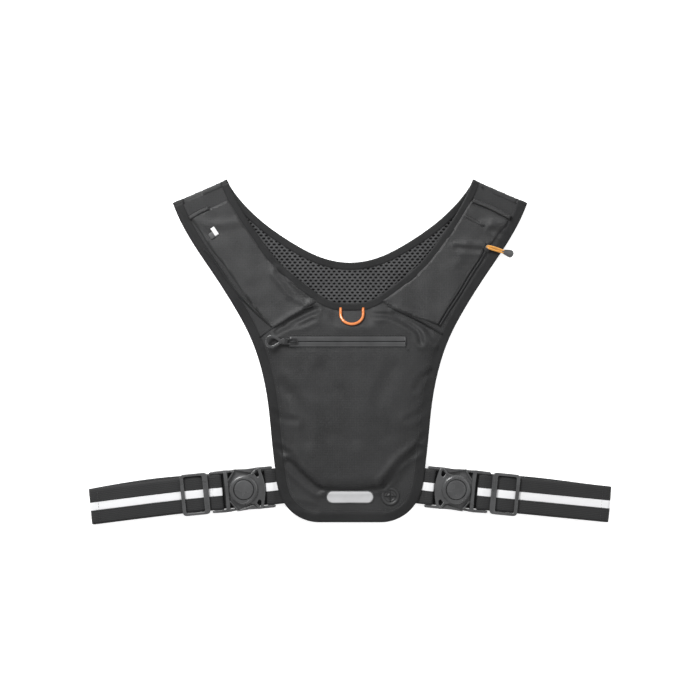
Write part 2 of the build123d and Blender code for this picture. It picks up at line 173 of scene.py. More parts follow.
def even(path, step, closed=False, corner=25):
    """The path with points about every step, with its corners kept."""
    pts = [np.array(p, float) for p in path]
    n = len(pts)
    keep = []
    for i in range(n):
        if not closed and i in (0, n - 1):
            keep.append(i)
            continue
        a, b = pts[i] - pts[i - 1], pts[(i + 1) % n] - pts[i]
        turn = abs(degrees(atan2(a[0] * b[1] - a[1] * b[0], a @ b)))
        if turn > corner:
            keep.append(i)
    if closed and not keep:
        keep = [0]
    out = []
    for k, i in enumerate(keep if closed else keep[:-1]):
        j = keep[(k + 1) % len(keep)]
        span = list(range(i, j + 1)) if j > i else list(range(i, n)) + list(range(0, j + 1))
        run = [pts[m] for m in span]
        lengths = [0.0]
        for a, b in zip(run, run[1:]):
            lengths.append(lengths[-1] + hypot(*(b - a)))
        count = max(1, round(lengths[-1] / step))
        at = np.linspace(0, lengths[-1], count + 1)[:-1]
        xs = np.interp(at, lengths, [p[0] for p in run])
        ys = np.interp(at, lengths, [p[1] for p in run])
        out += [np.array(q) for q in zip(xs, ys)]
    if not closed:
        out.append(pts[-1])
    return out


def mirrored(path):
    return [(-p[0], p[1]) for p in path]


def value_noise(x, y, size, seed, octaves=3):
    """Smooth noise of about -1 to 1 whose lumps are about size across."""
    out = np.empty(np.shape(x))
    for i, (a, b) in enumerate(zip(np.ravel(x), np.ravel(y))):
        out.flat[i] = noise.fractal(Vector((a / size, b / size, seed)), 1.0, 2.0, octaves)
    return out


# ================================================================ meshes
def add(name, verts, faces, mat, body, slot_name, smooth_shade=True, uv=None, tidy=True):
    """A piece from vertices in millimetres, riding on a body."""
    mesh = bpy.data.meshes.new(name)
    mesh.from_pydata([tuple(c * MM for c in v) for v in verts], [], faces)
    if tidy:
        bm = bmesh.new()
        bm.from_mesh(mesh)
        bmesh.ops.recalc_face_normals(bm, faces=bm.faces)
        bm.to_mesh(mesh)
        bm.free()
    if uv is not None:
        layer = mesh.uv_layers.new(name="cloth")
        for loop in mesh.loops:
            layer.data[loop.index].uv = uv[loop.vertex_index]
    mesh.polygons.foreach_set("use_smooth", [smooth_shade] * len(mesh.polygons))
    mesh.materials.append(mat)
    obj = bpy.data.objects.new(name, mesh)
    bpy.context.scene.collection.objects.link(obj)
    if body:
        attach(obj, body)
    return obj


def join_shapes(shapes):
    """One list of vertices and faces from several."""
    verts, faces = [], []
    for v, f in shapes:
        start = len(verts)
        verts += list(v)
        faces += [tuple(i + start for i in face) for face in f]
    return verts, faces


def ring_faces(count, around):
    """Faces between rings of points that follow each other, and one to close each end."""
    faces = []
    for i in range(count - 1):
        for k in range(around):
            q = (k + 1) % around
            faces.append((i * around + k, i * around + q, (i + 1) * around + q, (i + 1) * around + k))
    return faces + [tuple(range(around)), tuple((count - 1) * around + k for k in range(around))]


def turned(points, centre, angle):
    """Points turned about the vertical and moved to a centre."""
    c, s = cos(angle), sin(angle)
    return [(centre[0] + u * c - v * s, centre[1] + u * s + v * c, h) for u, v, h in points]


def facing(points, side):
    """The points, or their mirror image across v = 0."""
    return [(u, side * v) for u, v in points]


def height_at(surface, x, y):
    return float(surface(np.array([x]), np.array([y]))[0])


def joint_at(name):
    """A joint's place, in millimetres."""
    return np.array(next(j for j in frame["joints"] if j["name"] == name)["pos_m"]) / MM


def side_name(side):
    return "right" if side > 0 else "left"


def crease_shade(obj, angle=35):
    """Smooth shading with the edges sharper than the angle kept crisp."""
    bm = bmesh.new()
    bm.from_mesh(obj.data)
    for edge in bm.edges:
        edge.smooth = not (len(edge.link_faces) == 2 and degrees(edge.calc_face_angle(0)) > angle)
    bm.to_mesh(obj.data)
    bm.free()


def cloth_sheet(outline, spacing, top, thickness, holes=()):
    """A closed sheet over an outline: top is its height, and its edge is a straight wall."""
    loops = [outline] + list(holes)
    pts, edges, faces = [], [], []
    for loop in loops:
        start = len(pts)
        pts += [Vector((p[0], p[1])) for p in loop]
        edges += [(start + i, start + (i + 1) % len(loop)) for i in range(len(loop))]
    low, high = np.min(outline, axis=0), np.max(outline, axis=0)
    rows = np.arange(low[1], high[1], spacing * 0.866)
    across = np.arange(low[0], high[0], spacing)
    grid = [(x + (r % 2) * spacing / 2, y) for r, y in enumerate(rows) for x in across]
    gx, gy = np.array(grid).T
    keep = inside(gx, gy, outline) & (nearest(gx, gy, outline, True)[0] > spacing * 0.6)
    for hole in holes:
        keep &= ~inside(gx, gy, hole) & (nearest(gx, gy, hole, True)[0] > spacing * 0.6)
    pts += [Vector(p) for p in np.array(grid)[keep]]
    v, _, tris, *_ = geometry.delaunay_2d_cdt(pts, edges, [], 0, 1e-5)
    flat = np.array([(p.x, p.y) for p in v])
    centres = np.array([flat[list(t)].mean(0) for t in tris])
    good = inside(centres[:, 0], centres[:, 1], outline)
    for hole in holes:
        good &= ~inside(centres[:, 0], centres[:, 1], hole)
    tris = [t for t, g in zip(tris, good) if g]
    z = top(flat[:, 0], flat[:, 1])
    count = len(flat)
    verts = [(x, y, h - drop) for drop in (0.0, thickness) for (x, y), h in zip(flat, z)]
    faces = []
    used = {}
    for t in tris:
        a, b, c = t
        if np.cross(flat[b] - flat[a], flat[c] - flat[a]) < 0:
            t = (a, c, b)
        faces.append(tuple(t))
        faces.append(tuple(i + count for i in reversed(t)))
        for p, q in zip(t, t[1:] + t[:1]):
            used[(p, q)] = used.get((p, q), 0) + 1
    for p, q in used:
        if (q, p) not in used:
            faces.append((q, p, p + count, q + count))
    return verts, faces


def strip(path, across, top, closed=False):
    """A ribbon along a path. across lists (offset to the left, height), and top is the surface below."""
    pts = [np.array(p[:2], float) for p in path]
    n, m = len(pts), len(across)
    rows = []
    for i, p in enumerate(pts):
        a = pts[(i - 1) % n] if closed or i else p
        b = pts[(i + 1) % n] if closed or i < n - 1 else p
        d = (b - a) / max(hypot(*(b - a)), 1e-9)
        left = np.array([-d[1], d[0]])
        rows.append([p + left * s for s, _ in across])
    flat = np.array(rows).reshape(-1, 2)
    z = top(flat[:, 0], flat[:, 1]) + np.tile([h for _, h in across], n)
    verts = [(x, y, h) for (x, y), h in zip(flat, z)]
    faces = []
    for i in range(n if closed else n - 1):
        j = (i + 1) % n
        for k in range(m):
            faces.append((i * m + k, i * m + (k + 1) % m, j * m + (k + 1) % m, j * m + k))
    if not closed:
        faces.append(tuple(range(m)))
        faces.append(tuple((n - 1) * m + k for k in reversed(range(m))))
    return verts, faces


def band_section(left, right, height, sink=0.3, soft=0.5):
    """A low flat-topped section between two offsets, with soft edges, for strip()."""
    lo, hi = min(left, right), max(left, right)
    soft = min(soft, (hi - lo) / 3)
    inner = np.linspace(lo + soft, hi - soft, 5)
    top = [(lo, -sink), (lo + soft * 0.25, height * 0.6)] + [(s, height) for s in inner]
    return top + [(hi - soft * 0.25, height * 0.6), (hi, -sink)]


def tube(path, radius, sides=8, closed=False, ends=True):
    """A round tube along a path in space."""
    pts = [np.array(p, float) for p in path]
    n = len(pts)
    normal = None
    verts, faces = [], []
    for i, p in enumerate(pts):
        a = pts[(i - 1) % n] if closed or i else p
        b = pts[(i + 1) % n] if closed or i < n - 1 else p
        d = (b - a) / np.linalg.norm(b - a)
        if normal is None:
            normal = np.cross(d, (0, 0, 1)) if abs(d[2]) < 0.9 else np.cross(d, (1, 0, 0))
        normal = normal - d * (normal @ d)
        normal = normal / np.linalg.norm(normal)
        other = np.cross(d, normal)
        r = radius[i] if hasattr(radius, "__len__") else radius
        for k in range(sides):
            t = tau * k / sides
            verts.append(tuple(p + r * (cos(t) * normal + sin(t) * other)))
    for i in range(n if closed else n - 1):
        j = (i + 1) % n
        for k in range(sides):
            q = (k + 1) % sides
            faces.append((i * sides + k, i * sides + q, j * sides + q, j * sides + k))
    if not closed and ends:
        faces.append(tuple(range(sides)))
        faces.append(tuple((n - 1) * sides + k for k in range(sides)))
    return verts, faces


def stitches(path, top, length=2.0, gap=1.0, radius=0.24, lift=0.1, closed=False):
    """A row of thread stitches that lies on a surface."""
    pts = even(path, 0.5, closed, corner=180)
    shapes = []
    per, skip = int(length / 0.5), int((length + gap) / 0.5)
    for i in range(0, len(pts) - per, skip):
        run = np.array(pts[i:i + per + 1:2] if per > 3 else pts[i:i + per + 1])
        z = top(run[:, 0], run[:, 1]) + lift
        arch = np.sin(np.linspace(0, pi, len(run))) * 0.16
        line = [(x, y, h + a) for (x, y), h, a in zip(run, z, arch)]
        sizes = [radius * (0.6 if k in (0, len(line) - 1) else 1) for k in range(len(line))]
        shapes.append(tube(line, sizes, 5))
    return join_shapes(shapes)


def lathe(profile, centre=(0, 0), sides=48):
    """A turned shape from a closed (radius, z) profile."""
    verts, faces = [], []
    m = len(profile)
    for k in range(sides):
        t = tau * k / sides
        verts += [(centre[0] + r * cos(t), centre[1] + r * sin(t), z) for r, z in profile]
    for k in range(sides):
        q = (k + 1) % sides
        for i in range(m):
            j = (i + 1) % m
            if profile[i][0] < 1e-6 and profile[j][0] < 1e-6:
                continue
            faces.append((k * m + i, q * m + i, q * m + j, k * m + j))
    return verts, faces


def moulding(loops, z0, z1, edge):
    """A flat moulded shape from an outline and holes, with rounded edges."""
    curve = bpy.data.curves.new("moulding", "CURVE")
    curve.dimensions = "2D"
    curve.fill_mode = "BOTH"
    curve.extrude = (z1 - z0) / 2 - edge
    curve.bevel_depth = edge
    curve.bevel_resolution = 2
    curve.offset = -edge
    for loop in loops:
        spline = curve.splines.new("POLY")
        spline.points.add(len(loop) - 1)
        for point, p in zip(spline.points, loop):
            point.co = (p[0], p[1], 0, 1)
        spline.use_cyclic_u = True
    obj = bpy.data.objects.new("moulding", curve)
    bpy.context.scene.collection.objects.link(obj)
    mesh = bpy.data.meshes.new_from_object(obj.evaluated_get(bpy.context.evaluated_depsgraph_get()))
    bm = bmesh.new()
    bm.from_mesh(mesh)
    bmesh.ops.remove_doubles(bm, verts=bm.verts, dist=1e-4)
    bm.verts.index_update()
    mid = (z0 + z1) / 2
    verts = [(v.co.x, v.co.y, v.co.z + mid) for v in bm.verts]
    faces = [tuple(v.index for v in f.verts) for f in bm.faces]
    bm.free()
    bpy.data.objects.remove(obj)
    bpy.data.curves.remove(curve)
    bpy.data.meshes.remove(mesh)
    return verts, faces


def block(u0, u1, v0, v1, z0, z1, edge=0.3):
    return moulding([[(u0, v0), (u1, v0), (u1, v1), (u0, v1)]], z0, z1, edge)


def rounded(points, radius, steps=5):
    """A closed outline with its corners rounded."""
    out = []
    n = len(points)
    for i in range(n):
        p = np.array(points[i], float)
        a, b = np.array(points[i - 1], float) - p, np.array(points[(i + 1) % n], float) - p
        la, lb = hypot(*a), hypot(*b)
        cut = min(radius, la * 0.45, lb * 0.45)
        start, end = p + a / la * cut, p + b / lb * cut
        for k in range(steps + 1):
            t = k / steps
            out.append(tuple((1 - t) ** 2 * start + 2 * t * (1 - t) * p + t * t * end))
    return out


# ================================================================ materials
class Shader:
    """A short way to build a node material."""

    def __init__(self, name, colour, roughness, specular=0.5, sheen=0.0, coat=0.0, metallic=0.0):
        self.mat = bpy.data.materials.new(name)
        self.mat.use_nodes = True
        self.tree = self.mat.node_tree
        self.bsdf = next(n for n in self.tree.nodes if n.type == "BSDF_PRINCIPLED")
        self.bsdf.inputs["Base Color"].default_value = (*colour, 1)
        self.bsdf.inputs["Roughness"].default_value = roughness
        self.bsdf.inputs["Specular IOR Level"].default_value = specular
        self.bsdf.inputs["Sheen Weight"].default_value = sheen
        self.bsdf.inputs["Coat Weight"].default_value = coat
        self.bsdf.inputs["Metallic"].default_value = metallic

    def put(self, kind, values=None, **settings):
        node = self.tree.nodes.new(kind)
        for key, value in settings.items():
            setattr(node, key, value)
        for key, value in (values or {}).items():
            if isinstance(value, bpy.types.NodeSocket):
                self.tree.links.new(value, node.inputs[key])
            else:
                node.inputs[key].default_value = value
        return node

    def math(self, operation, a, b=0.0, clamp=False):
        return self.put("ShaderNodeMath", {0: a, 1: b}, operation=operation, use_clamp=clamp).outputs[0]

    def place(self):
        """Position on the piece at rest, as x, y and z."""
        coords = self.put("ShaderNodeTexCoord").outputs["Object"]
        return coords, self.put("ShaderNodeSeparateXYZ", {0: coords}).outputs

    def weave_place(self):
        coords = self.put("ShaderNodeUVMap", uv_map="cloth").outputs[0]
        return coords, self.put("ShaderNodeSeparateXYZ", {0: coords}).outputs

    def noise(self, coords, scale, detail=3.0, roughness=0.55):
        values = {"Vector": coords, "Scale": scale, "Detail": detail, "Roughness": roughness}
        return self.put("ShaderNodeTexNoise", values).outputs[0]

    def ramp(self, value, low, high, to_low=0.0, to_high=1.0):
        values = {"Value": value, "From Min": low, "From Max": high, "To Min": to_low, "To Max": to_high}
        return self.put("ShaderNodeMapRange", values).outputs[0]

    def mix(self, factor, a, b):
        node = self.put("ShaderNodeMix", data_type="RGBA")
        for socket, value in ((node.inputs[0], factor), (node.inputs[6], a), (node.inputs[7], b)):
            if isinstance(value, bpy.types.NodeSocket):
                self.tree.links.new(value, socket)
            else:
                socket.default_value = value if isinstance(value, float) else (*value, 1)
        return node.outputs[2]

    def colour(self, socket):
        self.tree.links.new(socket, self.bsdf.inputs["Base Color"])

    def rough(self, socket):
        self.tree.links.new(socket, self.bsdf.inputs["Roughness"])

    def bump(self, height, distance, strength=1.0):
        node = self.put("ShaderNodeBump", {"Height": height, "Distance": distance, "Strength": strength})
        self.tree.links.new(node.outputs[0], self.bsdf.inputs["Normal"])

    def waves(self, axis, pitch, phase=0.0):
        """A sine across an axis socket, 0 to 1, with one wave per pitch in metres."""
        turned = self.math("MULTIPLY_ADD", axis, tau / pitch)
        turned.node.inputs[2].default_value = phase
        return self.ramp(self.math("SINE", turned), -1.0, 1.0)


def cloth_material(name, dark, light, thread, roughness, grid=0.0, sheen=0.15, bump=0.00012, specular=0.25):
    """Plain-woven cloth, with a ripstop grid if grid is its pitch in metres."""
    s = Shader(name, dark, roughness, specular=specular, sheen=sheen)
    s.bsdf.inputs["Sheen Roughness"].default_value = 0.5
    coords, (x, y, _) = s.place()
    weave = s.math("MULTIPLY", s.waves(x, thread), s.waves(y, thread, 1.3))
    blotch = s.noise(coords, 22.0, 4.0)
    speck = s.noise(coords, 900.0, 2.0)
    tone = s.math("MULTIPLY_ADD", speck, 0.5)
    tone.node.inputs[2].default_value = 0.0
    tone = s.math("ADD", tone, s.math("MULTIPLY", blotch, 0.5))
    colour = s.mix(s.ramp(tone, 0.35, 0.65), dark, light)
    height = s.math("ADD", weave, s.math("MULTIPLY", speck, 0.6))
    if grid:
        along, across = (s.ramp(s.waves(axis, grid), 0.955, 1.0) for axis in (x, y))
        lines = s.math("MAXIMUM", along, across)
        lighter = tuple(min(1, c * 1.5 + 0.012) for c in light)
        colour = s.mix(s.math("MULTIPLY", lines, 0.16), colour, lighter)
        height = s.math("ADD", height, s.math("MULTIPLY", lines, 0.5))
    s.colour(colour)
    s.rough(s.ramp(blotch, 0.35, 0.65, roughness - 0.1, roughness + 0.1))
    s.bump(height, bump)
    return s.mat


def webbing_material():
    s = Shader("webbing", (0.018, 0.0182, 0.019), 0.68, specular=0.3, sheen=0.06)
    coords, (u, v, _) = s.weave_place()
    slant = s.math("ADD", u, s.math("MULTIPLY", s.math("ABSOLUTE", v), 0.55))
    rib = s.waves(slant, 0.0016)
    cross = s.waves(v, 0.0019)
    speck = s.noise(coords, 700.0, 2.0)
    blotch = s.noise(coords, 40.0, 3.0)
    height = s.math("ADD", s.math("MULTIPLY", rib, cross), s.math("MULTIPLY", speck, 0.35))
    # The colour follows the weave's relief: the hollows between the ribs are darker, as painted shade, and
    # the blotch adds the webbing's own uneven tone.
    tone = s.math("MULTIPLY", s.ramp(height, 0.1, 1.2), s.ramp(blotch, 0.3, 0.7, 0.75, 1.1))
    s.colour(s.mix(tone, (0.0095, 0.0096, 0.01), (0.027, 0.0273, 0.028)))
    s.bump(height, 0.00022)
    return s.mat


def moulded_material(name, colour, roughness, speck=0.25, coat=0.0, bump=0.00003):
    s = Shader(name, colour, roughness, specular=0.5, coat=coat)
    s.bsdf.inputs["Coat Roughness"].default_value = 0.12
    coords, _ = s.place()
    fine = s.noise(coords, 1500.0, 2.0)
    broad = s.noise(coords, 60.0, 3.0)
    lighter = tuple(c * (1 + speck) for c in colour)
    darker = tuple(c * (1 - speck) for c in colour)
    s.colour(s.mix(s.ramp(broad, 0.3, 0.7), darker, lighter))
    s.rough(s.ramp(broad, 0.3, 0.7, roughness - 0.05, roughness + 0.07))
    s.bump(fine, bump)
    return s.mat


def reflective_material():
    s = Shader("reflective_film", (0.7, 0.7, 0.71), 0.4, specular=0.5, metallic=0.1)
    coords, (x, y, _) = s.place()
    dots = s.math("MULTIPLY", s.waves(x, 0.0012), s.waves(y, 0.0012))
    blotch = s.noise(coords, 90.0, 3.0)
    beads = s.math("MULTIPLY", dots, s.ramp(blotch, 0.2, 0.8, 0.5, 1.0))
    s.colour(s.mix(beads, (0.64, 0.641, 0.65), (0.86, 0.862, 0.87)))
    s.bump(dots, 0.00004)
    return s.mat


def braid_material(name, dark, light):
    s = Shader(name, dark, 0.6, specular=0.4, sheen=0.2)
    _, (x, y, _) = s.place()
    one = s.waves(s.math("ADD", x, y), 0.0011)
    two = s.waves(s.math("SUBTRACT", x, y), 0.0011)
    height = s.math("MAXIMUM", one, two)
    # The colour follows the braid's relief: the grooves between the strands take the dark colour as painted
    # shade, and the crowns take the lighter, yellower one as painted highlight.
    s.colour(s.mix(height, dark, light))
    s.bump(height, 0.0002)
    return s.mat


SHELL = cloth_material("ripstop", (0.0145, 0.0146, 0.015), (0.0245, 0.0247, 0.0253), 0.0009, 0.48,
                       grid=0.0026, sheen=0.03)
# The wide range from dark to light makes the cloth's blotches show as lighter patches: painted sheen for
# shiny patches on the pocket, over the cloth's own uneven tone.
POCKET = cloth_material("pocket_cloth", (0.0125, 0.0126, 0.013), (0.0265, 0.0267, 0.0274), 0.0009, 0.42,
                        grid=0.0026,
                        sheen=0.03, specular=0.34)
TAPE = cloth_material("edge_tape", (0.0105, 0.0106, 0.011), (0.0165, 0.0167, 0.0171), 0.0006, 0.5,
                      sheen=0.02, bump=0.00005,
                      specular=0.18)
WEBBING = webbing_material()
MESHCLOTH = cloth_material("air_mesh", (0.03, 0.0303, 0.031), (0.07, 0.0705, 0.072), 0.0007, 0.6, sheen=0.1)
THREAD = cloth_material("thread", (0.013, 0.0132, 0.0137), (0.03, 0.0304, 0.031), 0.0005, 0.55)
PLASTIC = moulded_material("buckle_plastic", (0.051, 0.0515, 0.0527), 0.27, coat=0.2)
DARK_PLASTIC = moulded_material("dark_plastic", (0.012, 0.0122, 0.0128), 0.38)
REFLECTIVE = reflective_material()
ZIP_FILM = moulded_material("zip_film", (0.04, 0.0404, 0.0415), 0.18, speck=0.14, coat=0.45)
ZIP_METAL = moulded_material("zip_metal", (0.012, 0.0122, 0.0128), 0.3, coat=0.3)
RUBBER = moulded_material("rubber", (0.016, 0.0162, 0.0168), 0.5)
GREY_RUBBER = moulded_material("grey_rubber", (0.055, 0.0555, 0.0565), 0.4)
PULL_RUBBER = moulded_material("pull_rubber", (0.034, 0.0344, 0.0352), 0.28, coat=0.3)
ORANGE = moulded_material("orange_plastic", (0.61, 0.18, 0.045), 0.22, speck=0.08, coat=0.6)
CORD = braid_material("orange_braid", (0.53, 0.16, 0.013), (0.66, 0.33, 0.06))
STEEL = moulded_material("spring_steel", (0.5, 0.5, 0.52), 0.3)
MESHGROUND = cloth_material("mesh_ground", (0.011, 0.0112, 0.0115), (0.02, 0.0202, 0.0206), 0.0007, 0.8,
                            sheen=0.04, specular=0.15)
PILL = moulded_material("patch_film", (0.41, 0.412, 0.418), 0.34, speck=0.05)
PALE_THREAD = cloth_material("pale_thread", (0.55, 0.55, 0.56), (0.7, 0.7, 0.71), 0.0005, 0.6)


# ================================================================ shape of the front panel
POUCH = [(0, 45), (30, 44.5), (40, 43), (66, 31), (93, 15), (88, -12), (79, -50), (74, -90),
         (69, -113), (57, -128), (36, -146), (18, -149), (0, -149.5)]
POUCH_LOOP = [np.array(p) for p in smooth(POUCH + mirrored(POUCH)[-2:0:-1], 2.5, True)]
CREASES = [
    # path, depth, width: a valley, with a soft ridge each side
    ([(-78, 20), (-58, 33), (-37, 43)], 3.0, 3.2),
    ([(-70, 24), (-52, 27), (-38, 33)], 1.3, 2.4),
    ([(24, 38), (42, 37), (58, 30), (72, 20), (76, 8)], 3.2, 3.0),
    ([(48, 40), (66, 33), (82, 22), (90, 8)], 1.6, 2.6),
    ([(-66, -120), (-50, -136), (-34, -149)], 3.2, 3.8),
    ([(-78, -104), (-64, -112), (-56, -126)], 1.4, 3.0),
    ([(74, -106), (56, -119), (36, -143)], 3.0, 3.8),
    ([(80, -92), (70, -104), (64, -110)], 1.6, 3.0),
    ([(-34, -148), (0, -149), (35, -147)], 1.4, 2.8),
    ([(-86, -66), (-73, -73), (-58, -75)], 0.8, 3.8),
    ([(85, -56), (76, -66), (61, -75)], 0.8, 3.8),
    ([(86, -24), (77, -30), (70, -42)], 1.1, 3.6),
    ([(-60, -166), (-38, -170)], 0.9, 4.0),
    ([(-30, -20), (-10, -50), (5, -95)], 0.8, 8.0),
    ([(45, -20), (30, -55), (38, -90)], 0.8, 8.0),
    ([(-77, 83), (-59, 62), (-47, 55)], 2.2, 3.0),
    ([(-72, -38), (-52, -62), (-46, -96)], 0.9, 7.0),
    ([(151, 129), (166, 122)], 1.5, 2.6),
    ([(114, 109), (142, 107)], 1.5, 2.6),
]


def front_height(x, y):
    """Height of the front panel's face."""
    x, y = np.asarray(x, float), np.asarray(y, float)
    z = np.full(x.shape, front_top)
    depth = np.where(inside(x, y, POUCH_LOOP), nearest(x, y, POUCH_LOOP, True)[0], 0)
    near_top = np.clip((y + 10) / 30, 0, 1)
    near_foot = np.clip((-100 - y) / 25, 0, 1)
    reach = 23 - 6 * near_top - 10 * near_foot
    s = np.clip(depth / reach, 0, 1)
    crown = 1.4 * np.exp(-((x / 60) ** 2) - ((y + 62) / 55) ** 2)
    z = z + (pouch_top - front_top) * s * (2 - s) + crown * s
    flat_zip = np.exp(-((y - zip_y) / 9) ** 4) * ((x > zip_x0 - 3) & (x < zip_x1 + 3))
    wander = value_noise(x, y, 42, 3.1, 2) * 0.9 + value_noise(x, y, 15, 8.4, 2) * 0.3
    for path, amount, width in CREASES:
        gap = nearest(x, y, smooth(path, 4))[0]
        valley = np.exp(-(gap / width) ** 2)
        ridge = np.exp(-((gap - 1.6 * width) / width) ** 2)
        z = z - amount * valley + 0.6 * amount * ridge
    rest = z + wander * (0.35 + 0.65 * s)
    under_loop = np.exp(-(np.maximum(np.abs(x - loop_x) - 17, 0) / 7) ** 2) * (y > loop_y - 19)
    seat = loop_z - 1.95 + (loop_y - y) * loop_slope
    rest = rest - under_loop * np.maximum(rest - np.maximum(seat, front_top), 0)
    reach_x = np.maximum(np.abs(x - pull_mid[0]) - 17, 0)
    reach_y = np.maximum(np.abs(y - pull_mid[1]) - 6, 0)
    rest = rest - np.exp(-(reach_x / 6) ** 2 - (reach_y / 5) ** 2) * np.maximum(rest - pull_low, 0)
    z = rest * (1 - flat_zip) + flat_zip * pouch_top
    edge = nearest(x, y, FRONT_LOOP, True)[0]
    calm = np.clip(edge / 9, 0, 1)
    floor = front_low + LINING + 0.5
    return np.maximum(floor, front_top * (1 - calm) + z * calm)


zip_low, zip_high = corners("main_zip_tapes")
zip_x0, zip_x1, zip_y = zip_low[0], zip_high[0], (zip_low[1] + zip_high[1]) / 2
pull_mid, pull_low = middle("main_zip_pull"), pouch_top - 0.2


def loop_rest():
    """The key loop's middle, the height of its hinge and the slope that it lies on."""
    hinge = joint_at("key_loop_swing")
    low, high = corners("key_loop")
    slope = (high[2] - low[2] - 2.8) / (high[1] - low[1] - 2.8)
    return *hinge, slope


loop_x, loop_y, loop_z, loop_slope = loop_rest()


def front_outline():
    """The front panel's outline, with the parts above its lift line."""
    whole, lift_lines = [], 0
    shell = rim("front_shell")
    yokes = [rim("right_shoulder_yoke"), rim("left_shoulder_yoke")]
    for i, p in enumerate(shell):
        q = shell[(i + 1) % len(shell)]
        whole.append(p)
        if abs(p[1] - fold_y) < 0.01 and abs(q[1] - fold_y) < 0.01:
            yoke = next(k for k in yokes if abs(np.mean(k, axis=0)[0] - (p[0] + q[0]) / 2) < 40)
            low = min(v[1] for v in yoke)
            upper = [v for v in yoke if v[1] > low + 0.3]
            start = min(range(len(yoke)), key=lambda k: hypot(yoke[k][0] - p[0], yoke[k][1] - p[1]))
            walk = yoke[start:] + yoke[:start]
            whole += [v for v in walk if v in upper]
            lift_lines += 1
    if lift_lines != 2:
        raise ValueError(f"the front panel should have a lift line on each strap, not {lift_lines}")
    return whole


FRONT_LOOP = even(front_outline(), 2.5, True)
BACK_LOOP = even(rim("back_shell"), 2.5, True)


def over_shoulder(piece):
    """A piece of the front panel has its placement baked into its mesh."""
    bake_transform(piece)


def flat_at(z):
    return lambda x, y: np.full(np.shape(x), float(z))


# ================================================================ panels
def tape_piece(name, path, width, height, top, body, closed=False, mat=TAPE, slot_name="tape"):
    """Bonded tape to the left of a path."""
    verts, faces = strip(path, band_section(0.0, width, height), top, closed)
    return add(name, verts, faces, mat, body, slot_name)


def fold_ends():
    """Where the right shoulder's fold begins and ends, and the direction across it."""
    right = np.array([p for p in FRONT_LOOP if p[0] > 0])
    inner, outer = right[right[:, 1].argmax()], right[right[:, 0].argmax()]
    run = (outer - inner) / np.linalg.norm(outer - inner)
    return inner, outer, np.array([-run[1], run[0]])


def shoulder_folds():
    """The half round over each shoulder: face cloth with tape along both edges."""
    inner, outer, away = fold_ends()
    length = np.linalg.norm(outer - inner)
    run = (outer - inner) / length
    radius = front_top / 2
    for side, name in ((1, "right"), (-1, "left")):
        for label, s0, s1, extra, mat in (
            ("neck_tape", 0, 7.6, 0.35, TAPE),
            ("cloth", 7.0, length - 11.5, 0.0, SHELL),
            ("side_tape", length - 12.2, length, 0.35, TAPE),
        ):
            outer_rows, inner_rows = [], []
            angles = [-90, -90] + list(np.linspace(-90, 90, 13)) + [90, 90]
            reach = [-2.4, -1.2] + [0] * 13 + [-1.2, -2.4]
            steps = max(3, int((s1 - s0) / 2.5))
            for k in range(steps + 1):
                s = s0 + (s1 - s0) * k / steps
                pucker = 0.25 * sin(s * 0.9) * sin(s * 0.37)
                for rows, shell in ((outer_rows, 0.0), (inner_rows, 1.0)):
                    row = []
                    for angle, back in zip(angles, reach):
                        r = radius + extra + pucker * cos(radians(angle)) - shell * (CLOTH + extra)
                        spot = inner + run * s + away * (r * cos(radians(angle)) + back)
                        row.append((side * spot[0], spot[1], max(radius + r * sin(radians(angle)), 0.02)))
                    rows.append(row)
            verts = [p for row in outer_rows for p in row] + [p for row in inner_rows for p in row]
            m, n = len(angles), steps + 1
            faces = []
            for i in range(n - 1):
                for j in range(m - 1):
                    a = i * m + j
                    faces.append((a, a + 1, a + m + 1, a + m))
                    b = a + n * m
                    faces.append((b, b + m, b + m + 1, b + 1))
            ring = [i * m for i in range(n)] + [(n - 1) * m + j for j in range(1, m)]
            ring += [i * m + m - 1 for i in range(n - 2, -1, -1)] + [j for j in range(m - 2, 0, -1)]
            for a, b in zip(ring, ring[1:] + ring[:1]):
                faces.append((a, a + n * m, b + n * m, b))
            slot_name = "tape" if mat is TAPE else "shell"
            add(f"{name}_fold_{label}", verts, faces, mat, "back_panel", slot_name)
        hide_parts(f"{name}_shoulder_fold")


def hex_mesh(outline, z0, z1, wide, tall, margin):
    """Knitted spacer mesh: an open net of six-sided holes, with each hole's wall turned down."""
    low, high = np.min(outline, axis=0), np.max(outline, axis=0)
    centres = []
    for r, y in enumerate(np.arange(low[1], high[1], tall * 0.75)):
        for x in np.arange(low[0], high[0], wide):
            centres.append((x + (r % 2) * wide / 2, y))
    c = np.array(centres)
    keep = inside(c[:, 0], c[:, 1], outline) & (nearest(c[:, 0], c[:, 1], outline, True)[0] > margin)
    c = c[keep]
    corner = np.array([(0, 0.5), (-0.5, 0.25), (-0.5, -0.25), (0, -0.5), (0.5, -0.25), (0.5, 0.25)])
    verts, faces, shared = [], [], {}

    def vertex(p):
        key = (round(p[0] * 4), round(p[1] * 4), round(p[2] * 10))
        if key not in shared:
            shared[key] = len(verts)
            verts.append(tuple(p))
        return shared[key]

    wave = value_noise(c[:, 0], c[:, 1], 30, 5.5, 2)
    for (x, y), w in zip(c, wave):
        edge = [vertex((x + px * wide, y + py * tall, z1)) for px, py in corner]
        rings = []
        hole = 0.62 + 0.05 * w
        for size, z in ((hole + 0.14, z1 + 0.12), (hole, z1 - 0.25), (hole - 0.06, z0 + 0.5)):
            rings.append(len(verts))
            verts += [(x + px * wide * size, y + py * tall * size, z) for px, py in corner]
        loops = [edge] + [[start + k for k in range(6)] for start in rings]
        for a, b in zip(loops, loops[1:]):
            for k in range(6):
                q = (k + 1) % 6
                faces.append((a[k], a[q], b[q], b[k]))
    return verts, faces


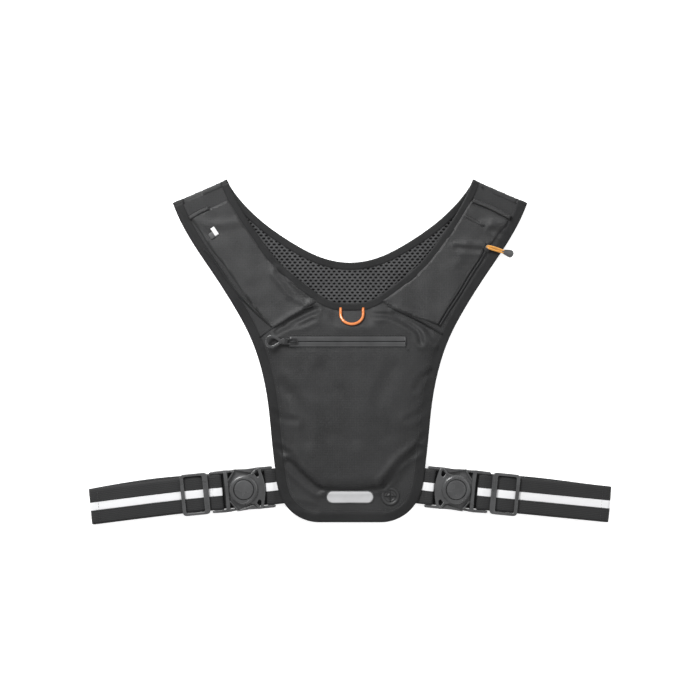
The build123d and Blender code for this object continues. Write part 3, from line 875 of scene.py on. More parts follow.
def lining(name, outline, node, body, flip=False):
    """A spacer mesh lining: its open face, and the plain ground behind it."""
    low, high = corners(node)
    z0, z1 = low[2], high[2]
    net, faces = hex_mesh(outline, z0, z1 - 0.15, 5.6, 4.3, 5.0)
    if flip:
        net = [(x, y, z0 + z1 - z) for x, y, z in net]
    piece = add(f"{name}_net", net, faces, MESHCLOTH, body, "mesh", tidy=False)
    ground_z = z1 - 0.3 if flip else z0 + 0.6
    verts, faces = cloth_sheet(outline, 9.0, flat_at(ground_z), 0.45)
    ground = add(f"{name}_ground", verts, faces, MESHGROUND, body, "mesh")
    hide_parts(node)


def back_panel():
    verts, faces = cloth_sheet(BACK_LOOP, 5.0, flat_at(CLOTH), CLOTH - 0.02)
    shell = add("back_cloth", verts, faces, SHELL, "back_panel", "shell")
    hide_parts("back_shell")
    inner = even(rim("back_mesh_lining"), 3.0, True)
    lining("back_lining", inner, "back_mesh_lining", "back_panel")
    neck = neck_path(BACK_LOOP)
    top = corners("back_neck_tape")[1][2]
    tape = tape_piece("back_neck_binding", neck, 8.0, 0.5, flat_at(top - 0.5), "back_panel")
    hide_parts("back_neck_tape")
    tape_piece("back_neck_lip", neck, 2.2, 2.3, flat_at(CLOTH - 0.1), "back_panel")
    sides = side_path(BACK_LOOP)
    edge = tape_piece("back_side_binding", sides, 10.5, 0.4, flat_at(CLOTH), "back_panel")
    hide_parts("back_edge_tape")
    under = [(0.0, -0.25), (10.5, -0.25), (10.5, 0.02), (0.0, 0.02)]
    for label, path in (("side", sides), ("neck", neck)):
        verts, faces = strip(path, under, flat_at(0.0))
        add(f"back_{label}_under_binding", verts, faces, TAPE, "back_panel", "tape")


def neck_path(loop):
    """The neckline of a panel's outline, from the right shoulder to the left."""
    inner, outer, _ = fold_ends()
    a = min(range(len(loop)), key=lambda i: hypot(loop[i][0] - inner[0], loop[i][1] - inner[1]))
    b = min(range(len(loop)), key=lambda i: hypot(loop[i][0] + inner[0], loop[i][1] - inner[1]))
    return (loop[a:b + 1] if a < b else loop[a:] + loop[:b + 1])


def side_path(loop):
    """A panel's outline from the left shoulder down, along the hem and up to the right shoulder."""
    inner, outer, _ = fold_ends()
    a = min(range(len(loop)), key=lambda i: hypot(loop[i][0] + outer[0], loop[i][1] - outer[1]))
    b = min(range(len(loop)), key=lambda i: hypot(loop[i][0] - outer[0], loop[i][1] - outer[1]))
    return (loop[a:b + 1] if a < b else loop[a:] + loop[:b + 1])


def front_panel():
    verts, faces = cloth_sheet(FRONT_LOOP, 2.4, front_height, CLOTH)
    cloth = add("front_cloth", verts, faces, SHELL, None, "shell")
    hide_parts("front_shell", "pouch_panel", "right_shoulder_yoke", "left_shoulder_yoke")
    over_shoulder(cloth)
    inner = even(rim("front_mesh_lining"), 3.0, True)
    lining("front_lining", inner, "front_mesh_lining", "front_panel", flip=True)
    neck = tape_piece("front_neck_binding", neck_path(FRONT_LOOP), 8.0, 0.55, front_height, None)
    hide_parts("front_neck_tape")
    over_shoulder(neck)
    side = tape_piece("front_side_binding", side_path(FRONT_LOOP), 10.5, 0.5, front_height, None)
    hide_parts("front_edge_tape")
    over_shoulder(side)


def raised(amount):
    """The front panel's face, raised."""
    return lambda x, y: front_height(x, y) + amount


def welt(name, path, width, height, mat=TAPE, slot_name="tape", top=front_height, bend=True):
    """A narrow raised seam centred on a path."""
    line = even(smooth(path, 2.0), 2.0)
    verts, faces = strip(line, band_section(-width / 2, width / 2, height, soft=0.8), top)
    piece = add(name, verts, faces, mat, None if bend else "front_panel", slot_name)
    if bend:
        over_shoulder(piece)
    return piece


def thread_row(name, path, top=front_height, bend=True, **sizes):
    verts, faces = stitches(path, top, **sizes)
    piece = add(name, verts, faces, THREAD, None if bend else "front_panel", "tape")
    if bend:
        over_shoulder(piece)
    return piece


def pocket_outline(side):
    """The shoulder pocket: from its hem down to the pouch, between the neckline and the long side seam."""
    hem_in, hem_out = (131.0, 160.5), (171.0, 141.8)
    if side > 0:
        outer = [(164, 131), (152, 114.5), (146, 109), (93.5, 27)]
    else:
        outer = [(160, 126), (148, 107), (134, 90), (115, 62), (93, 33), (83, 23)]
    neck = [p for p in neck_path(FRONT_LOOP) if p[0] > 30 and 52 < p[1] < 158]
    neck = [(p[0] + 6.6 * s[0], p[1] + 6.6 * s[1]) for p, s in zip(neck, outward(neck))]
    neck = neck[::6]
    points = [hem_in, hem_out] + outer + [(50, 43)] + sorted(neck, key=lambda p: p[1])
    return [np.array((side * x, y)) for x, y in points]


def outward(path):
    """Unit vectors to the left of a path at each of its points."""
    out = []
    for i in range(len(path)):
        a, b = path[max(i - 1, 0)], path[min(i + 1, len(path) - 1)]
        d = hypot(b[0] - a[0], b[1] - a[1])
        out.append((-(b[1] - a[1]) / d, (b[0] - a[0]) / d))
    return out


def shoulder_pockets():
    for side, name in ((1, "right"), (-1, "left")):
        outline = pocket_outline(side)
        if side < 0:
            outline = outline[::-1]
        if np.cross(outline[1] - outline[0], outline[3] - outline[0]) < 0:
            outline = outline[::-1]
        loop = even(outline, 2.5, True, corner=20)
        verts, faces = cloth_sheet(loop, 2.6, pocket_height, 0.6)
        cloth = add(f"{name}_pocket_cloth", verts, faces, POCKET, None, "shell")
        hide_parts(f"{name}_shoulder_pocket")
        over_shoulder(cloth)
    hem = [(131.5, 160), (150, 152.5), (171.5, 141.5)]
    ridge = welt("right_pocket_ridge", hem, 4.8, 2.9, POCKET, "shell", top=pocket_height)
    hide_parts("right_pocket_hem")
    thread_row("right_hem_stitching", [(x - 1.6, y - 3.6) for x, y in hem], top=raised(0.9))
    hem = [(-172, 141), (-161, 147.5), (-151, 152)]
    ridge = welt("left_pocket_ridge", hem, 4.0, 1.3, POCKET, "shell", top=pocket_height)
    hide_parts("left_pocket_hem")
    seam = [(-157, 108.5), (-148.5, 98.5), (-129, 70.5), (-106, 45), (-83.5, 24.5)]
    welt("left_slit_lip", seam, 2.2, 1.0, TAPE, "tape", top=raised(0.3))
    thread_row("left_slit_stitching", [(x + 2.6, y + 2.0) for x, y in seam], top=raised(0.85))
    seam = [(123, 143.5), (133, 138), (143.5, 132.7)]
    welt("right_inner_seam", seam, 2.6, 0.9, POCKET, "shell", top=pocket_height)
    thread_row("right_inner_stitching", [(x + 1, y + 2.2) for x, y in seam], top=raised(1.0))


POCKET_FOLDS = [
    ([(150, 131), (158, 136), (170, 133)], 1.8, 4.0),
    ([(140, 135), (152, 138)], 1.2, 3.0),
    ([(152, 129), (160, 122)], -1.8, 2.4),
    ([(113, 109), (127, 108.5), (142, 107.5)], -1.3, 2.2),
    ([(114, 113), (128, 112), (141, 112)], 0.8, 3.5),
    ([(112, 90), (120, 100), (125, 112)], 0.9, 6.0),
    ([(-165, 140), (-150, 134), (-120, 137)], 1.2, 5.0),
    ([(-77, 83), (-59, 62), (-45, 56)], -1.4, 3.0),
    ([(-82, 80), (-66, 59)], 1.0, 4.0),
    ([(-140, 118), (-128, 100), (-110, 78)], 0.8, 7.0),
    ([(-120, 112), (-104, 92), (-95, 70)], -0.5, 6.0),
]


def pocket_height(x, y):
    """The shoulder pockets' face: a little above the front panel, with soft lumps in the cloth."""
    x, y = np.asarray(x, float), np.asarray(y, float)
    lumps = value_noise(x, y, 26, 12.7, 2) * 0.7
    z = front_height(x, y) + 0.75 + np.clip(lumps, -0.25, 0.9)
    for path, amount, width in POCKET_FOLDS:
        gap = nearest(x, y, smooth(path, 4))[0]
        z = z + amount * np.exp(-(gap / width) ** 2)
    return np.maximum(z, front_height(x, y) + 0.45)


def reflective_tag():
    """A small folded tab of reflective tape on the left strap, over a moulded end."""
    centre = (-144.7, 126.8)
    turn = radians(-56)
    z = height_at(pocket_height, *centre)
    profile = [(-4.6, 0.1), (4.2, 0.1), (4.9, 0.9), (4.2, 1.7), (-4.6, 1.9), (-5.0, 1.5), (-4.4, 1.1),
               (3.6, 1.05), (4.0, 0.9), (3.6, 0.75), (-4.4, 0.75), (-5.0, 0.5)]
    verts = turned([(u, v, z + h) for v in (-2.2, 2.2) for u, h in profile], centre, turn)
    faces = ring_faces(2, len(profile))
    tag = add("folded_tab", verts, faces, REFLECTIVE, "front_panel", "reflective", smooth_shade=False)
    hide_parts("reflective_tag")
    centre = (-147.6, 122.5)
    shape = moulding([rounded([(-3.4, -3), (3.4, -3), (3.4, 3), (-3.4, 3)], 1.6)], z - 0.1, z + 1.6, 0.5)
    add("folded_tab_base", turned(shape[0], centre, turn), shape[1], GREY_RUBBER, "front_panel", "rubber")


# ================================================================ chest pouch trim and zips
def pouch_trim():
    top_left = [(-97, 14), (-83, 24), (-70, 32), (-54, 42), (-40, 46.6)]
    top_right = [(99, 17), (80, 28), (61, 37.5), (40, 48)]
    welt("pouch_left_seam", top_left, 2.6, 1.0, TAPE, bend=False)
    welt("pouch_right_seam", top_right, 2.6, 1.2, TAPE, bend=False)
    thread_row("pouch_left_stitching", [(x + 1.2, y - 3.2) for x, y in top_left], bend=False)
    thread_row("pouch_right_stitching", [(x - 1.2, y - 3.2) for x, y in top_right], bend=False)
    side = [p for p in side_path(FRONT_LOOP) if p[1] < 4]
    inner = [p + 13.0 * np.array(s) for p, s in zip(side, outward(side))]
    thread_row("panel_stitching", inner, bend=False, length=1.8, gap=1.2, radius=0.18)

    low, high = corners("reflective_pill")
    centre, half = (low + high) / 2, (high - low) / 2
    pill = [(centre[0] + sx * (half[0] - half[1]) + half[1] * cos(t), centre[1] + half[1] * sin(t))
            for sx, t0 in ((1, -90), (-1, 90)) for t in np.radians(np.linspace(t0, t0 + 180, 14))]
    loop = even(pill, 1.2, True)
    verts, faces = cloth_sheet(loop, 1.6, raised(0.45), 0.4)
    piece = add("reflective_patch", verts, faces, PILL, "front_panel", "reflective")
    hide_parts("reflective_pill")
    border = [p - 0.2 * (p - centre[:2]) / np.linalg.norm(p - centre[:2]) for p in loop]
    verts, faces = strip(border, band_section(-0.7, 0.5, 0.75, soft=0.3), front_height, closed=True)
    add("reflective_patch_edge", verts, faces, GREY_RUBBER, "front_panel", "reflective")


def cable_port():
    low, high = corners("cable_port")
    centre, r = (low + high) / 2, (high[0] - low[0]) / 2
    z = height_at(front_height, centre[0], centre[1])
    profile = [(0.35, -0.5), (0.35, 0.5), (3.2, 0.55), (3.5, 0.25), (4.0, 0.25), (4.3, 0.75), (5.8, 0.8),
               (6.1, 0.4), (6.7, 0.4), (7.0, 1.2), (8.3, 1.5), (9.2, 1.2), (r, 0.3), (r, -0.6)]
    verts, faces = lathe([(across, z + h) for across, h in profile], (0, 0), 64)
    cut = 0.5
    kept = []
    for face in faces:
        spot = np.mean([verts[i] for i in face], axis=0)
        narrow = min(abs(spot[0]), abs(spot[1])) < cut and hypot(spot[0], spot[1]) < 5.4
        if not narrow:
            kept.append(face)
    verts = [(x + centre[0], y + centre[1], h) for x, y, h in verts]
    piece = add("cable_grommet", verts, kept, RUBBER, "front_panel", "rubber", tidy=False)
    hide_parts("cable_port")
    bars = []
    for angle in (0, pi / 2):
        u = np.array([cos(angle), sin(angle)])
        v = np.array([-u[1], u[0]])
        for s in (-1, 1):
            line = [(*(centre[:2] + u * t + v * s * 0.55), z + 0.75) for t in np.linspace(-5.1, 5.1, 12)]
            bars.append(tube(line, 0.22, 6))
    verts, faces = join_shapes(bars)
    add("cable_slit_lips", verts, faces, RUBBER, "front_panel", "rubber")


def main_zip():
    low, high = corners("main_zip_tapes")
    x0, x1 = low[0], high[0]
    surface = high[2]
    shapes = []
    profile = [(0.35, -0.7), (0.3, 0.25), (0.9, 0.62), (2.2, 0.55), (4.2, 0.42), (5.3, 0.1), (5.5, -0.5),
               (3.0, -0.7)]
    line = [(x, zip_y) for x in np.linspace(x0 + 1.5, x1 - 0.5, 60)]

    def wavy(x, y):
        return np.full(x.shape, surface) + 0.12 * np.sin(x * 0.16)

    for s in (-1, 1):
        shapes.append(strip(line, [(s * out, h) for out, h in profile], wavy))
    verts, faces = join_shapes(shapes)
    film = add("main_zip_film", verts, faces, ZIP_FILM, "front_panel", "zip_tape")
    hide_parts("main_zip_tapes")
    teeth = []
    for k in range(int((x1 - x0 - 8) / 1.35)):
        x = x0 + 4 + k * 1.35
        s = 1 if k % 2 else -1
        arch = [(x, zip_y + s * 1.3, surface - 1.0), (x + 0.25, zip_y + s * 0.6, surface - 0.6),
                (x + 0.5, zip_y - s * 0.35, surface - 0.75)]
        teeth.append(tube(arch, 0.3, 5))
    verts, faces = join_shapes(teeth)
    coil = add("main_zip_teeth", verts, faces, DARK_PLASTIC, "front_panel", "zip_tape")
    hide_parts("main_zip_coils")
    ends = []
    for x in (x0 + 0.6, x1 - 0.6):
        ends.append(block(x - 0.7, x + 0.7, zip_y - 3.4, zip_y + 3.4, surface - 0.2, surface + 0.9, 0.35))
    verts, faces = join_shapes(ends)
    stops = add("main_zip_ends", verts, faces, DARK_PLASTIC, "front_panel", "zip_tape")
    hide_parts("main_zip_stops")
    edge = []
    for s in (-1, 1):
        row = [(x, zip_y + s * 6.6) for x in (x0 + 1, x1 + 1)]
        edge.append(stitches(row, front_height, length=2.2, gap=1.0, radius=0.2, lift=0.0))
    tack = []
    for a, b in (((-1.6, -1.6), (1.6, 1.6)), ((-1.6, 1.6), (1.6, -1.6))):
        row = [(x1 + 1.5 + a[0], zip_y - 9 + a[1]), (x1 + 1.5 + b[0], zip_y - 9 + b[1])]
        tack.append(stitches(row, front_height, length=4, gap=2, radius=0.3))
    verts, faces = join_shapes(edge + tack)
    add("main_zip_stitching", verts, faces, THREAD, "front_panel", "tape")
    zip_slider()
    zip_pull()


def zip_slider():
    low, high = corners("main_zip_slider")
    cx = (low[0] + high[0]) / 2
    base = corners("main_zip_tapes")[1][2] + 0.3
    outline = [(-4.6, -2.2), (-3.2, -3.9), (2.2, -3.9), (4.4, -2.9), (4.6, 0), (4.4, 2.9), (2.2, 3.9),
               (-3.2, 3.9), (-4.6, 2.2)]
    shapes = [moulding([rounded([(cx + u, zip_y + v) for u, v in outline], 1.2)], base, base + 1.3, 0.4)]
    arch = [(-3.0, 0.8), (-3.1, 2.4), (-2.0, 3.6), (0, 3.95), (2.0, 3.6), (3.1, 2.3), (3.2, 0.8)]
    arch = [(cx + u, zip_y, base + h) for u, h in arch]
    shapes.append(tube(arch, [1.0, 0.95, 0.85, 0.85, 0.85, 0.95, 1.0], 10))
    shapes.append(block(cx - 3, cx + 3, zip_y - 0.4, zip_y + 0.4, base - 2.6, base + 0.2, 0.1))
    shapes.append(block(cx - 3.5, cx + 3.5, zip_y - 2.3, zip_y + 2.3, base - 3.2, base - 2.4, 0.3))
    verts, faces = join_shapes(shapes)
    piece = add("main_slider_body", verts, faces, ZIP_METAL, "main_zip_slider", "zip_metal")
    crease_shade(piece)
    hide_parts("main_zip_slider")


def zip_pull():
    """A metal fork on the slider and a moulded teardrop loop with a ridge down each side."""
    px, py, pz = joint_at("main_zip_pull_swing")
    droop = radians(2.5)
    reach = px - corners("main_zip_pull")[0][0]

    def place(u, v, w):
        return (px - u * cos(droop) + w * sin(droop), py + v, pz - u * sin(droop) + w * cos(droop))

    metal = [block(-0.6, 8.2, s * 2.6 - 0.6, s * 2.6 + 0.6, -0.6, 0.6, 0.25) for s in (-1, 1)]
    metal.append(block(6.6, 13.0, -3.2, 3.2, -0.6, 0.6, 0.3))
    metal.append(tube([(0, v, 0) for v in np.linspace(-3.2, 3.2, 6)], 0.7, 10))
    verts, faces = join_shapes(metal)
    verts = [place(*v) for v in verts]
    piece = add("main_pull_fork", verts, faces, ZIP_METAL, "main_zip_pull", "zip_metal")
    crease_shade(piece)
    half = [(9.8, 2.3), (14, 2.6), (19, 5.6), (24, 7.0), (28.5, 5.4)]
    outer = smooth(half + [(reach, 0)] + facing(half, -1)[::-1], 1.0)
    half = [(19.6, 2.6), (23.6, 4.2), (27.0, 3.0)]
    hole = smooth([(16.2, 0)] + half + [(28.2, 0)] + facing(half, -1)[::-1], 1.0, True)
    verts, faces = moulding([outer, hole], -1.35, 1.35, 0.7)
    loop = add("main_pull_loop", [place(*v) for v in verts], faces, PULL_RUBBER, "main_zip_pull", "rubber")
    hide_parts("main_zip_pull")
    ribs = [block(10.8 + k * 1.3, 11.4 + k * 1.3, -1.8, 1.8, 1.1, 1.55, 0.15) for k in range(3)]
    verts, faces = join_shapes(ribs)
    add("main_pull_ribs", [place(*v) for v in verts], faces, PULL_RUBBER, "main_zip_pull", "rubber")


def key_loop():
    """The loop, and its two sewn-down ends, which stay put when it swings."""
    low, high = corners("key_loop")
    cx, r = (low[0] + high[0]) / 2, (high[0] - low[0]) / 2 - 1.4
    _, py, pz = joint_at("key_loop_swing")
    lift = atan2(high[2] - low[2] - 2.8, high[1] - low[1] - 2.8)

    def laid(line):
        path = [(cx + x, py + y * cos(lift), pz - y * sin(lift) - max(y, 0) * 0.5) for x, y in line]
        return tube([(x, y, max(z, front_top - 0.2)) for x, y, z in path], 1.45, 14)

    bend = [(r * cos(t), -2 + r * sin(t)) for t in np.radians(np.linspace(190, 350, 25))]
    loop = laid([(-r, 0.4), (-r, -2)] + bend + [(r, -2), (r, 0.4)])
    piece = add("key_ring_loop", *loop, ORANGE, "key_loop", "orange")
    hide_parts("key_loop")
    ends = join_shapes([laid([(side * r, -0.3), (side * r, 2.5), (side * r, 5.5)]) for side in (-1, 1)])
    add("key_ring_ends", *ends, ORANGE, "front_panel", "orange")


# ================================================================ side zip and its pull
def side_zip():
    seam = [(147, 113.5), (139.5, 98), (129, 82), (117, 62), (104.5, 43), (94.5, 26.5)]
    line = even(smooth(seam, 2.0), 1.6)
    for s, name in ((-1, "outer"), (1, "inner")):
        lip = [(s * out, h) for out, h in ((0.35, 0.5), (0.6, 1.25), (2.4, 1.15), (3.0, 0.5))]
        verts, faces = strip(line, lip, front_height)
        add(f"side_zip_{name}_lip", verts, faces, TAPE, "front_panel", "tape")
    teeth = []
    run = even(smooth(seam, 1.0), 1.4)
    for k, (a, b) in enumerate(zip(run, run[1:])):
        z = height_at(front_height, *a) + 0.75
        d = (b - a) / hypot(*(b - a))
        n = np.array([-d[1], d[0]]) * (1 if k % 2 else -1)
        hook = [(*(a + n * out), z + h) for out, h in ((0.7, -0.2), (0.2, 0.15), (-0.4, 0))]
        teeth.append(tube(hook, 0.28, 5))
    verts, faces = join_shapes(teeth)
    coil = add("side_zip_teeth", verts, faces, DARK_PLASTIC, "front_panel", "zip_tape")
    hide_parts("side_zip_coil")
    thread_row("side_zip_stitching", [(x + 4.0, y - 2.4) for x, y in seam], bend=False)

    low, high = corners("side_zip_slider")
    c = (low + high) / 2
    turn = atan2(seam[2][1] - seam[0][1], seam[2][0] - seam[0][0])
    body = [(-4.2, -1.7), (-1, -2.8), (3.6, -2.2), (3.6, 2.2), (-1, 2.8), (-4.2, 1.7)]
    shapes = [moulding([rounded(body, 1.0)], low[2], low[2] + 1.2, 0.35)]
    bridge = [(-2.4, 0.8), (-2.3, 1.8), (-0.8, 2.5), (1.2, 2.4), (2.2, 1.7), (2.4, 0.8)]
    shapes.append(tube([(u, 0, low[2] + h) for u, h in bridge], 0.6, 8))
    verts, faces = join_shapes(shapes)
    verts = turned(verts, c, turn)
    piece = add("side_slider_body", verts, faces, ZIP_METAL, "side_zip_slider", "zip_metal")
    crease_shade(piece)
    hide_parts("side_zip_slider")
    side_pull()


def side_pull():
    """A doubled orange cord through the slider's eye, with a moulded teardrop grip."""
    eye = joint_at("side_zip_pull_swing")
    grip = middle("side_pull_grip")
    out = grip - eye
    out = out / np.linalg.norm(out)
    across = np.array([-out[1], out[0], 0]) / hypot(out[0], out[1])
    up = np.cross(out, across)
    reach = np.linalg.norm(grip - eye)

    def place(u, v, w):
        return tuple(eye + out * u + across * v + up * w)

    strands = []
    for s in (-1, 1):
        line = [(-1.2, s * 0.2, -0.9), (0.2, s * 0.9, 0.9), (2.5, s * 1.25, 1.6), (6, s * 1.3, 1.5),
                (10, s * 1.25, 1.0), (14, s * 1.1, 0.5), (reach - 3.5, s * 0.8, 0.2)]
        path = [np.array(p) for p in line]
        fine = []
        for a, b in zip(path, path[1:]):
            fine += [tuple(a + (b - a) * t) for t in (0, 0.34, 0.67)]
        fine.append(tuple(path[-1]))
        strands.append(tube([place(*p) for p in fine], 1.2, 12))
    strands.append(tube([place(-1.2, v, -0.9) for v in (-0.6, 0, 0.6)], 1.1, 10))
    verts, faces = join_shapes(strands)
    cord = add("side_pull_braid", verts, faces, CORD, "side_zip_pull", "orange_cord")
    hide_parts("side_pull_cord")
    rows = []
    for k, u in enumerate(np.linspace(-6.6, 6.4, 19)):
        t = (u + 6.6) / 13.0
        width = 1.9 + 2.35 * sin(min(t * 1.15, 1.0) * pi / 2) ** 1.3
        if t > 0.72:
            width *= max(0.02, 1 - ((t - 0.72) / 0.28) ** 2) ** 0.5
        thick = 1.5 + 0.6 * t
        if t > 0.8:
            thick *= max(0.05, 1 - ((t - 0.8) / 0.2) ** 2) ** 0.5
        rows.append([(u, width * cos(a), thick * sin(a)) for a in np.linspace(0, tau, 25)[:-1]])
    verts = [place(reach + u, v, w) for row in rows for u, v, w in row]
    faces = ring_faces(len(rows), len(rows[0]))
    piece = add("side_pull_toggle", verts, faces, GREY_RUBBER, "side_zip_pull", "rubber")
    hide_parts("side_pull_grip")
    rim_line = [place(reach + row[0][0] * 0.93, row[0][1] * 0.86, 1.15) for row in rows[3:]]
    rim_line += [place(reach + row[12][0] * 0.93, row[12][1] * 0.86, 1.15) for row in reversed(rows[3:-1])]
    verts, faces = tube(rim_line, 0.42, 8)
    add("side_pull_toggle_rim", verts, faces, GREY_RUBBER, "side_zip_pull", "rubber")


# ================================================================ side straps
button, slide_bar = middle("right_buckle_button"), middle("right_strap_adjuster")
TILT = atan2(button[1] - slide_bar[1], slide_bar[0] - button[0])
WEB_HALF = 19.0
run_low = corners("right_strap_stripe")[0][2]
WEB = 1.4
REAR_TOP = corners("right_strap_rear_run")[1][2]
REAR_LOW = corners("right_strap_rear_run")[0][2]
TAIL_LOW = corners("right_strap_adjuster")[0][2] - 1.5


def strap_place(side, u, v, z):
    """From the strap frame (u out along the strap, v up across it) to the row frame."""
    x = button[0] + u * cos(TILT) + v * sin(TILT)
    y = button[1] - u * sin(TILT) + v * cos(TILT)
    return side * x, y, z


def strap_piece(name, shape, mat, body, slot_name, side, smooth_shade=True, uv=None, crisp=False):
    verts = [strap_place(side, *v) for v in shape[0]]
    piece = add(f"{side_name(side)}_{name}", verts, shape[1], mat, body, slot_name, smooth_shade, uv)
    if crisp:
        crease_shade(piece)
    return piece


def web_shape(path, thick=WEB, half=WEB_HALF, sway=0.0, seed=0.0, across=13, step=2.0):
    """Webbing along a path of (u, z): a closed band with selvedges, and its cloth coordinates."""
    pts = [np.array(p, float) for p in path]
    fine = [pts[0]]
    for a, b in zip(pts, pts[1:]):
        count = max(1, int(np.linalg.norm(b - a) / step))
        fine += [a + (b - a) * (k + 1) / count for k in range(count)]
    pts = fine
    n = len(pts)
    vs = list(np.linspace(-half, half, across))
    ring = [(v, 0.5) for v in vs] + [(half + 0.25, 0.0)]
    ring += [(v, -0.5) for v in reversed(vs)] + [(-half - 0.25, 0.0)]
    verts, uv, run = [], [], 0.0
    for i, p in enumerate(pts):
        a, b = pts[max(i - 1, 0)], pts[min(i + 1, n - 1)]
        d = (b - a) / np.linalg.norm(b - a)
        up = np.array([-d[1], d[0]])
        if i:
            run += np.linalg.norm(p - pts[i - 1])
        for v, h in ring:
            ripple = sway * noise.noise(Vector((p[0] / 26, v / 24 + seed, seed)))
            curl = 0.12 * (abs(v) / half) ** 4
            q = p + up * (h * thick + ripple - curl * (1 if h > 0 else 0))
            verts.append((q[0], v, q[1]))
            uv.append((run * MM + (0.003 if h < 0 else 0), v * MM))
    faces = ring_faces(n, len(ring))
    return (verts, faces), uv


def arc_points(u, z, radius, start, end, count=9):
    """Points on an arc in the strap's (u, z) plane, by angle in degrees."""
    return [(u + radius * cos(t), z + radius * sin(t)) for t in np.radians(np.linspace(start, end, count))]


REAR_DRIFT = 1.8              # the rear run lies this much higher than the front run, halfway along
FOLD_DRIFT = 2.5              # the left strap's front run lies this much lower at its fold


def askew(shape, side, end, bend=1.3):
    """The left strap swings towards the hem beyond its adjuster, nearer its fold if bend is higher."""
    if side > 0:
        return shape
    verts, faces = shape
    start = 62                # the swing begins here, along the strap
    share = [min(max((u - start) / (end - start), 0), 1) for u, _, _ in verts]
    return [(u, v - FOLD_DRIFT * t ** bend, z) for (u, v, z), t in zip(verts, share)], faces


def strap_end():
    """How far out along the strap its fold begins."""
    high = corners("right_strap_webbing")[1]
    reach = (high[0] - button[0] - WEB_HALF * sin(TILT)) / cos(TILT)
    return reach - (run_low - REAR_LOW) / 2


def strap_webbing(side):
    name = side_name(side)
    body = f"{name}_strap"
    mid = run_low - WEB / 2
    rear_mid = (REAR_LOW + REAR_TOP) / 2
    fold_mid = (mid + rear_mid) / 2
    end = strap_end()
    r = (mid - rear_mid) / 2
    # over the adjuster's two upper bars and under its middle one
    front = [(25.5, 0), (27.5, 0.5), (30.5, 0.55), (33.5, 0), (36.5, -0.5), (41, -0.45), (45, 0),
             (49, 0.6), (55, 0.75), (60, 0.2), (65, -0.45), (70, -0.1), (76, 0), (end, 0)]
    front = [(u, mid + h) for u, h in front]
    tail_mid = TAIL_LOW + WEB / 2 - 0.1
    wrap_r = (mid - tail_mid) / 2
    wrap_mid = (mid + tail_mid) / 2
    path = [(47, tail_mid + 1.0), (38, tail_mid + 0.2), (30, tail_mid)]
    path += arc_points(25.5, wrap_mid, wrap_r, 270, 90)
    path += front[1:] + arc_points(end, fold_mid, r, 90, -90)[1:] + [(end - 4, rear_mid)]
    shape, uv = web_shape(path, sway=0.35, seed=side * 2.3)
    web = strap_piece("strap_web", askew(shape, side, end), WEBBING, body, "webbing", side, uv=uv)
    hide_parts(f"{name}_strap_webbing")

    stripe = [(p[0], p[1] + WEB / 2 + 0.12) for p in front]
    around = arc_points(end, fold_mid, r + WEB / 2 + 0.12, 90, -60)
    line = arc_points(25.5, wrap_mid, wrap_r + WEB / 2 + 0.12, 150, 90) + stripe[1:] + around[1:]
    shape, uv = web_shape(line, thick=0.24, half=4.0, sway=0.35, seed=side * 2.3, across=5)
    shape = askew(shape, side, end)
    band = strap_piece("strap_reflector", shape, REFLECTIVE, body, "reflective", side, uv=uv)
    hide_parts(f"{name}_strap_stripe")
    rows = [(26.5, v, 38, v) for v in (-3.3, 3.3)] + [(68, v, end, v) for v in (-3.5, 3.5)]
    shape = stitch_rows(rows, mid + WEB / 2 + 0.22, radius=0.2)
    strap_piece("reflector_stitching", askew(shape, side, end), PALE_THREAD, body, "reflective", side)
    shape = stitch_rows([(end - 6, -17, end - 6, 17)], mid + WEB / 2 + 0.1)
    strap_piece("fold_stitching", askew(shape, side, end), THREAD, body, "webbing", side)

    rear = [(-43, rear_mid), (-30, rear_mid), (0, rear_mid + 0.1), (60, rear_mid), (end + 0.4, rear_mid)]
    (verts, faces), uv = web_shape(rear, sway=0.15, seed=side * 5.1, step=3.0)
    verts = [(u, v + REAR_DRIFT * sin(pi * min(max(u, 0) / end, 1)) ** 2, max(z, 0.02))
             for u, v, z in verts]
    shape = askew((verts, faces), side, end, 4)
    back = strap_piece("rear_web", shape, WEBBING, None, "webbing", side, uv=uv)
    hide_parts(f"{name}_strap_rear_run")
    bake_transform(back)
    rows = [(-41, v, -36, v) for v in (-14, 0, 14)] + [(-41, -16, -41, 16), (-36.5, -16, -36.5, 16)]
    shape = stitch_rows(rows, REAR_TOP + 0.05)
    strap_piece("rear_tack", shape, THREAD, "back_panel", "webbing", side)


def stitch_rows(rows, z, length=2.4, gap=0.9, radius=0.26):
    """Straight stitching on flat webbing, as (u0, v0, u1, v1) rows."""
    sizes = {"length": length, "gap": gap, "radius": radius, "lift": 0.0}
    return join_shapes([stitches([(a, b), (c, d)], flat_at(z), **sizes) for a, b, c, d in rows])


